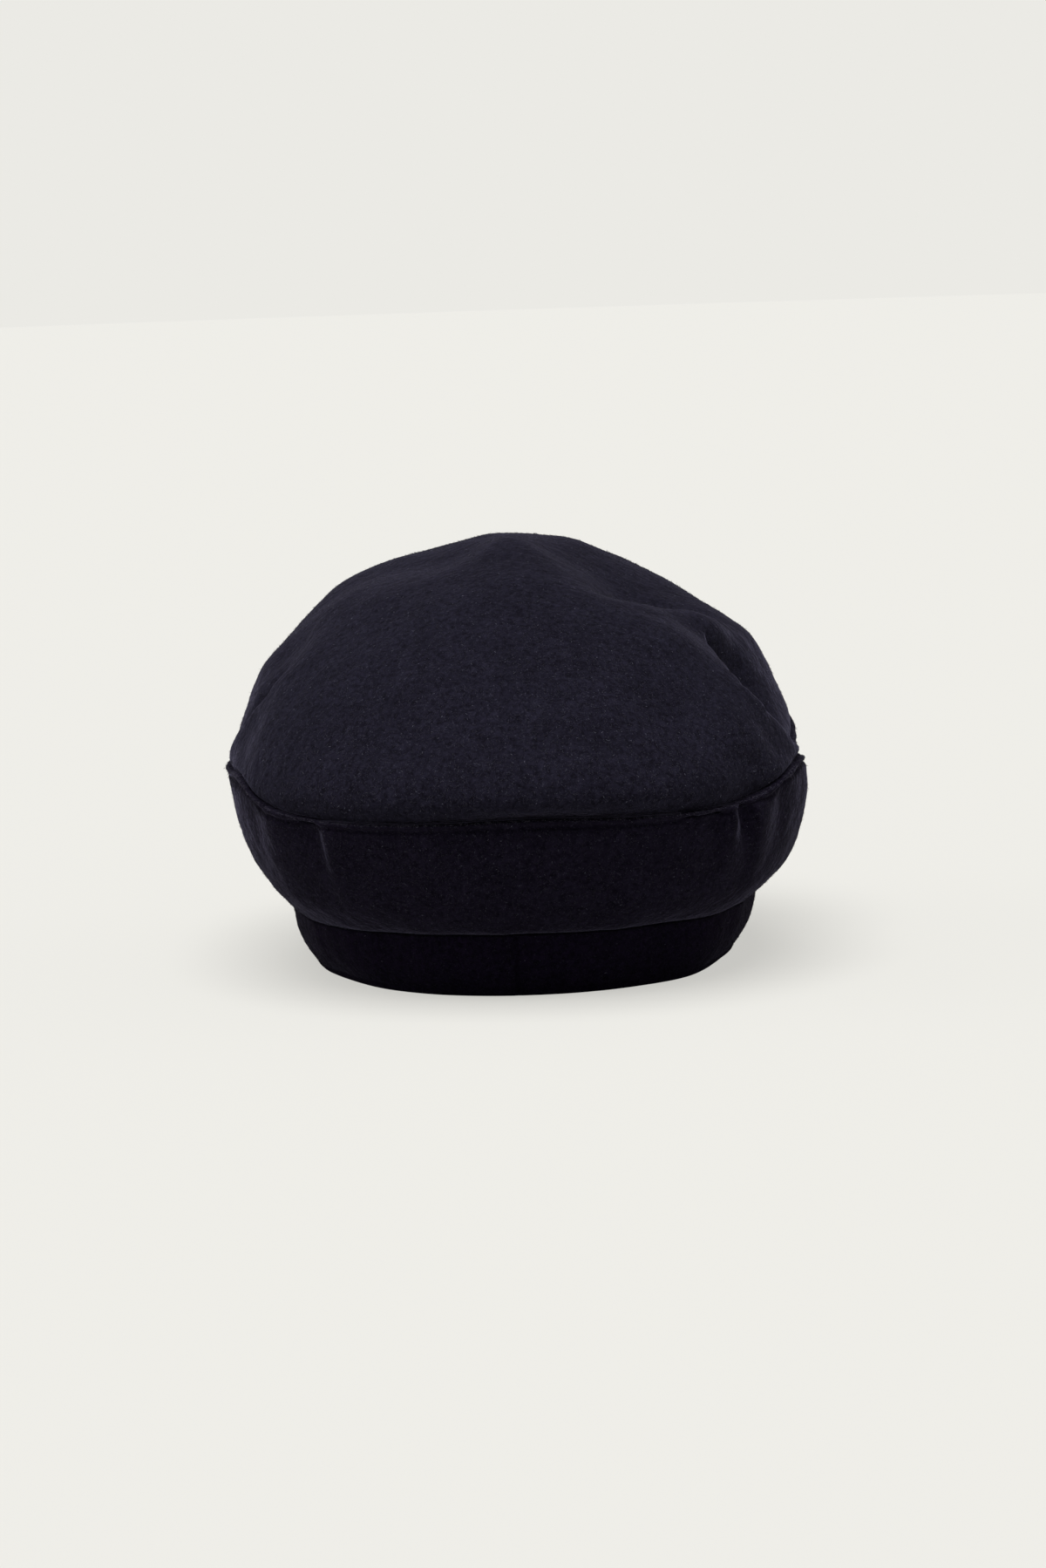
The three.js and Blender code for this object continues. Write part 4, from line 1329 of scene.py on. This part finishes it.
begin()
bpy.ops.mesh.primitive_circle_add(
    vertices=FLOOR_SIDES, radius=FLOOR_RADIUS, fill_type="NGON", location=(0, 0, -FLOOR_DROP * MM)
)
floor = bpy.context.object
floor.name = "paper_floor"
paper = bpy.data.materials.new("paper")
paper.use_nodes = True
nodes, links = paper.node_tree.nodes, paper.node_tree.links
nodes.remove(nodes["Principled BSDF"])
matt = nodes.new("ShaderNodeBsdfDiffuse")
matt.inputs["Color"].default_value = (*(v * PAPER_MATT for v in PAPER), 1)
glow = nodes.new("ShaderNodeEmission")
glow.inputs["Color"].default_value = (*PAPER, 1)
lit = nodes.new("ShaderNodeMixShader")
lit.inputs["Fac"].default_value = FLOOR_GLOW
links.new(matt.outputs["BSDF"], lit.inputs[1])
links.new(glow.outputs["Emission"], lit.inputs[2])
shaded = nodes.new("ShaderNodeBsdfDiffuse")
shaded.inputs["Color"].default_value = (*(v * FLOOR_BOUNCE for v in PAPER), 1)
clear = nodes.new("ShaderNodeBsdfTransparent")
to_camera = nodes.new("ShaderNodeLightPath").outputs["Is Camera Ray"]
from_below = nodes.new("ShaderNodeNewGeometry").outputs["Backfacing"]
from_above = link_either(nodes, links, to_camera, shaded.outputs["BSDF"], lit.outputs["Shader"])
one_sided = link_either(nodes, links, from_below, from_above, clear.outputs["BSDF"])
links.new(one_sided, nodes["Material Output"].inputs["Surface"])
floor.data.materials.append(paper)
print("the floor reaches", FLOOR_RADIUS, "m to every side")

# %% [markdown]
# Lamps of the sun kind shine from one direction all over, and a wide angle makes them soft. One is
# high over the cap and leans towards the camera. Two weak ones stand low at the sides: they give the
# paler flanks and the faint shadows to the left and right. The right one is the weaker, because it
# shines straight into the deep fold, which has to stay dark.

# %% Lamps
# name, strength, spread in degrees, height above the horizon, azimuth from the back over the left
LAMPS = [
    ("overhead", 3.2, 50, 78, 20),
    ("left_side", 0.8, 40, 8, 98),
    ("right_side", 0.42, 40, 5, 256),
]

for name, strength, spread, height, azimuth in LAMPS:
    begin()
    bpy.ops.object.light_add(type="SUN")
    lamp = bpy.context.object
    lamp.name = name
    lamp.data.energy = strength
    lamp.data.angle = math.radians(spread)
    raised, turned = math.radians(height), math.radians(azimuth)
    level_reach = math.cos(raised)
    from_lamp = Vector((math.sin(turned) * level_reach, math.cos(turned) * level_reach, math.sin(raised)))
    lamp.rotation_euler = from_lamp.to_track_quat("Z", "Y").to_euler()
    print(name, "lamp shines from", tuple(round(v, 2) for v in from_lamp))

# %% [markdown]
# The world is the same paper tone to the camera, and a much weaker even light to the cap. The plain
# Standard view keeps the tones as they are.

# %% World
WORLD_LIGHT = 0.34

world = bpy.data.worlds.new("pale_studio")
bpy.context.scene.world = world
world.use_nodes = True
nodes, links = world.node_tree.nodes, world.node_tree.links
seen = nodes["Background"]
seen.inputs["Color"].default_value = (*PAPER, 1)
ambient = nodes.new("ShaderNodeBackground")
ambient.inputs["Color"].default_value = (*PAPER, 1)
ambient.inputs["Strength"].default_value = WORLD_LIGHT
to_camera = nodes.new("ShaderNodeLightPath").outputs["Is Camera Ray"]
backdrop = link_either(nodes, links, to_camera, ambient.outputs["Background"], seen.outputs["Background"])
links.new(backdrop, nodes["World Output"].inputs["Surface"])
bpy.context.scene.view_settings.view_transform = "Standard"
print("world light:", WORLD_LIGHT, " view:", bpy.context.scene.view_settings.view_transform)
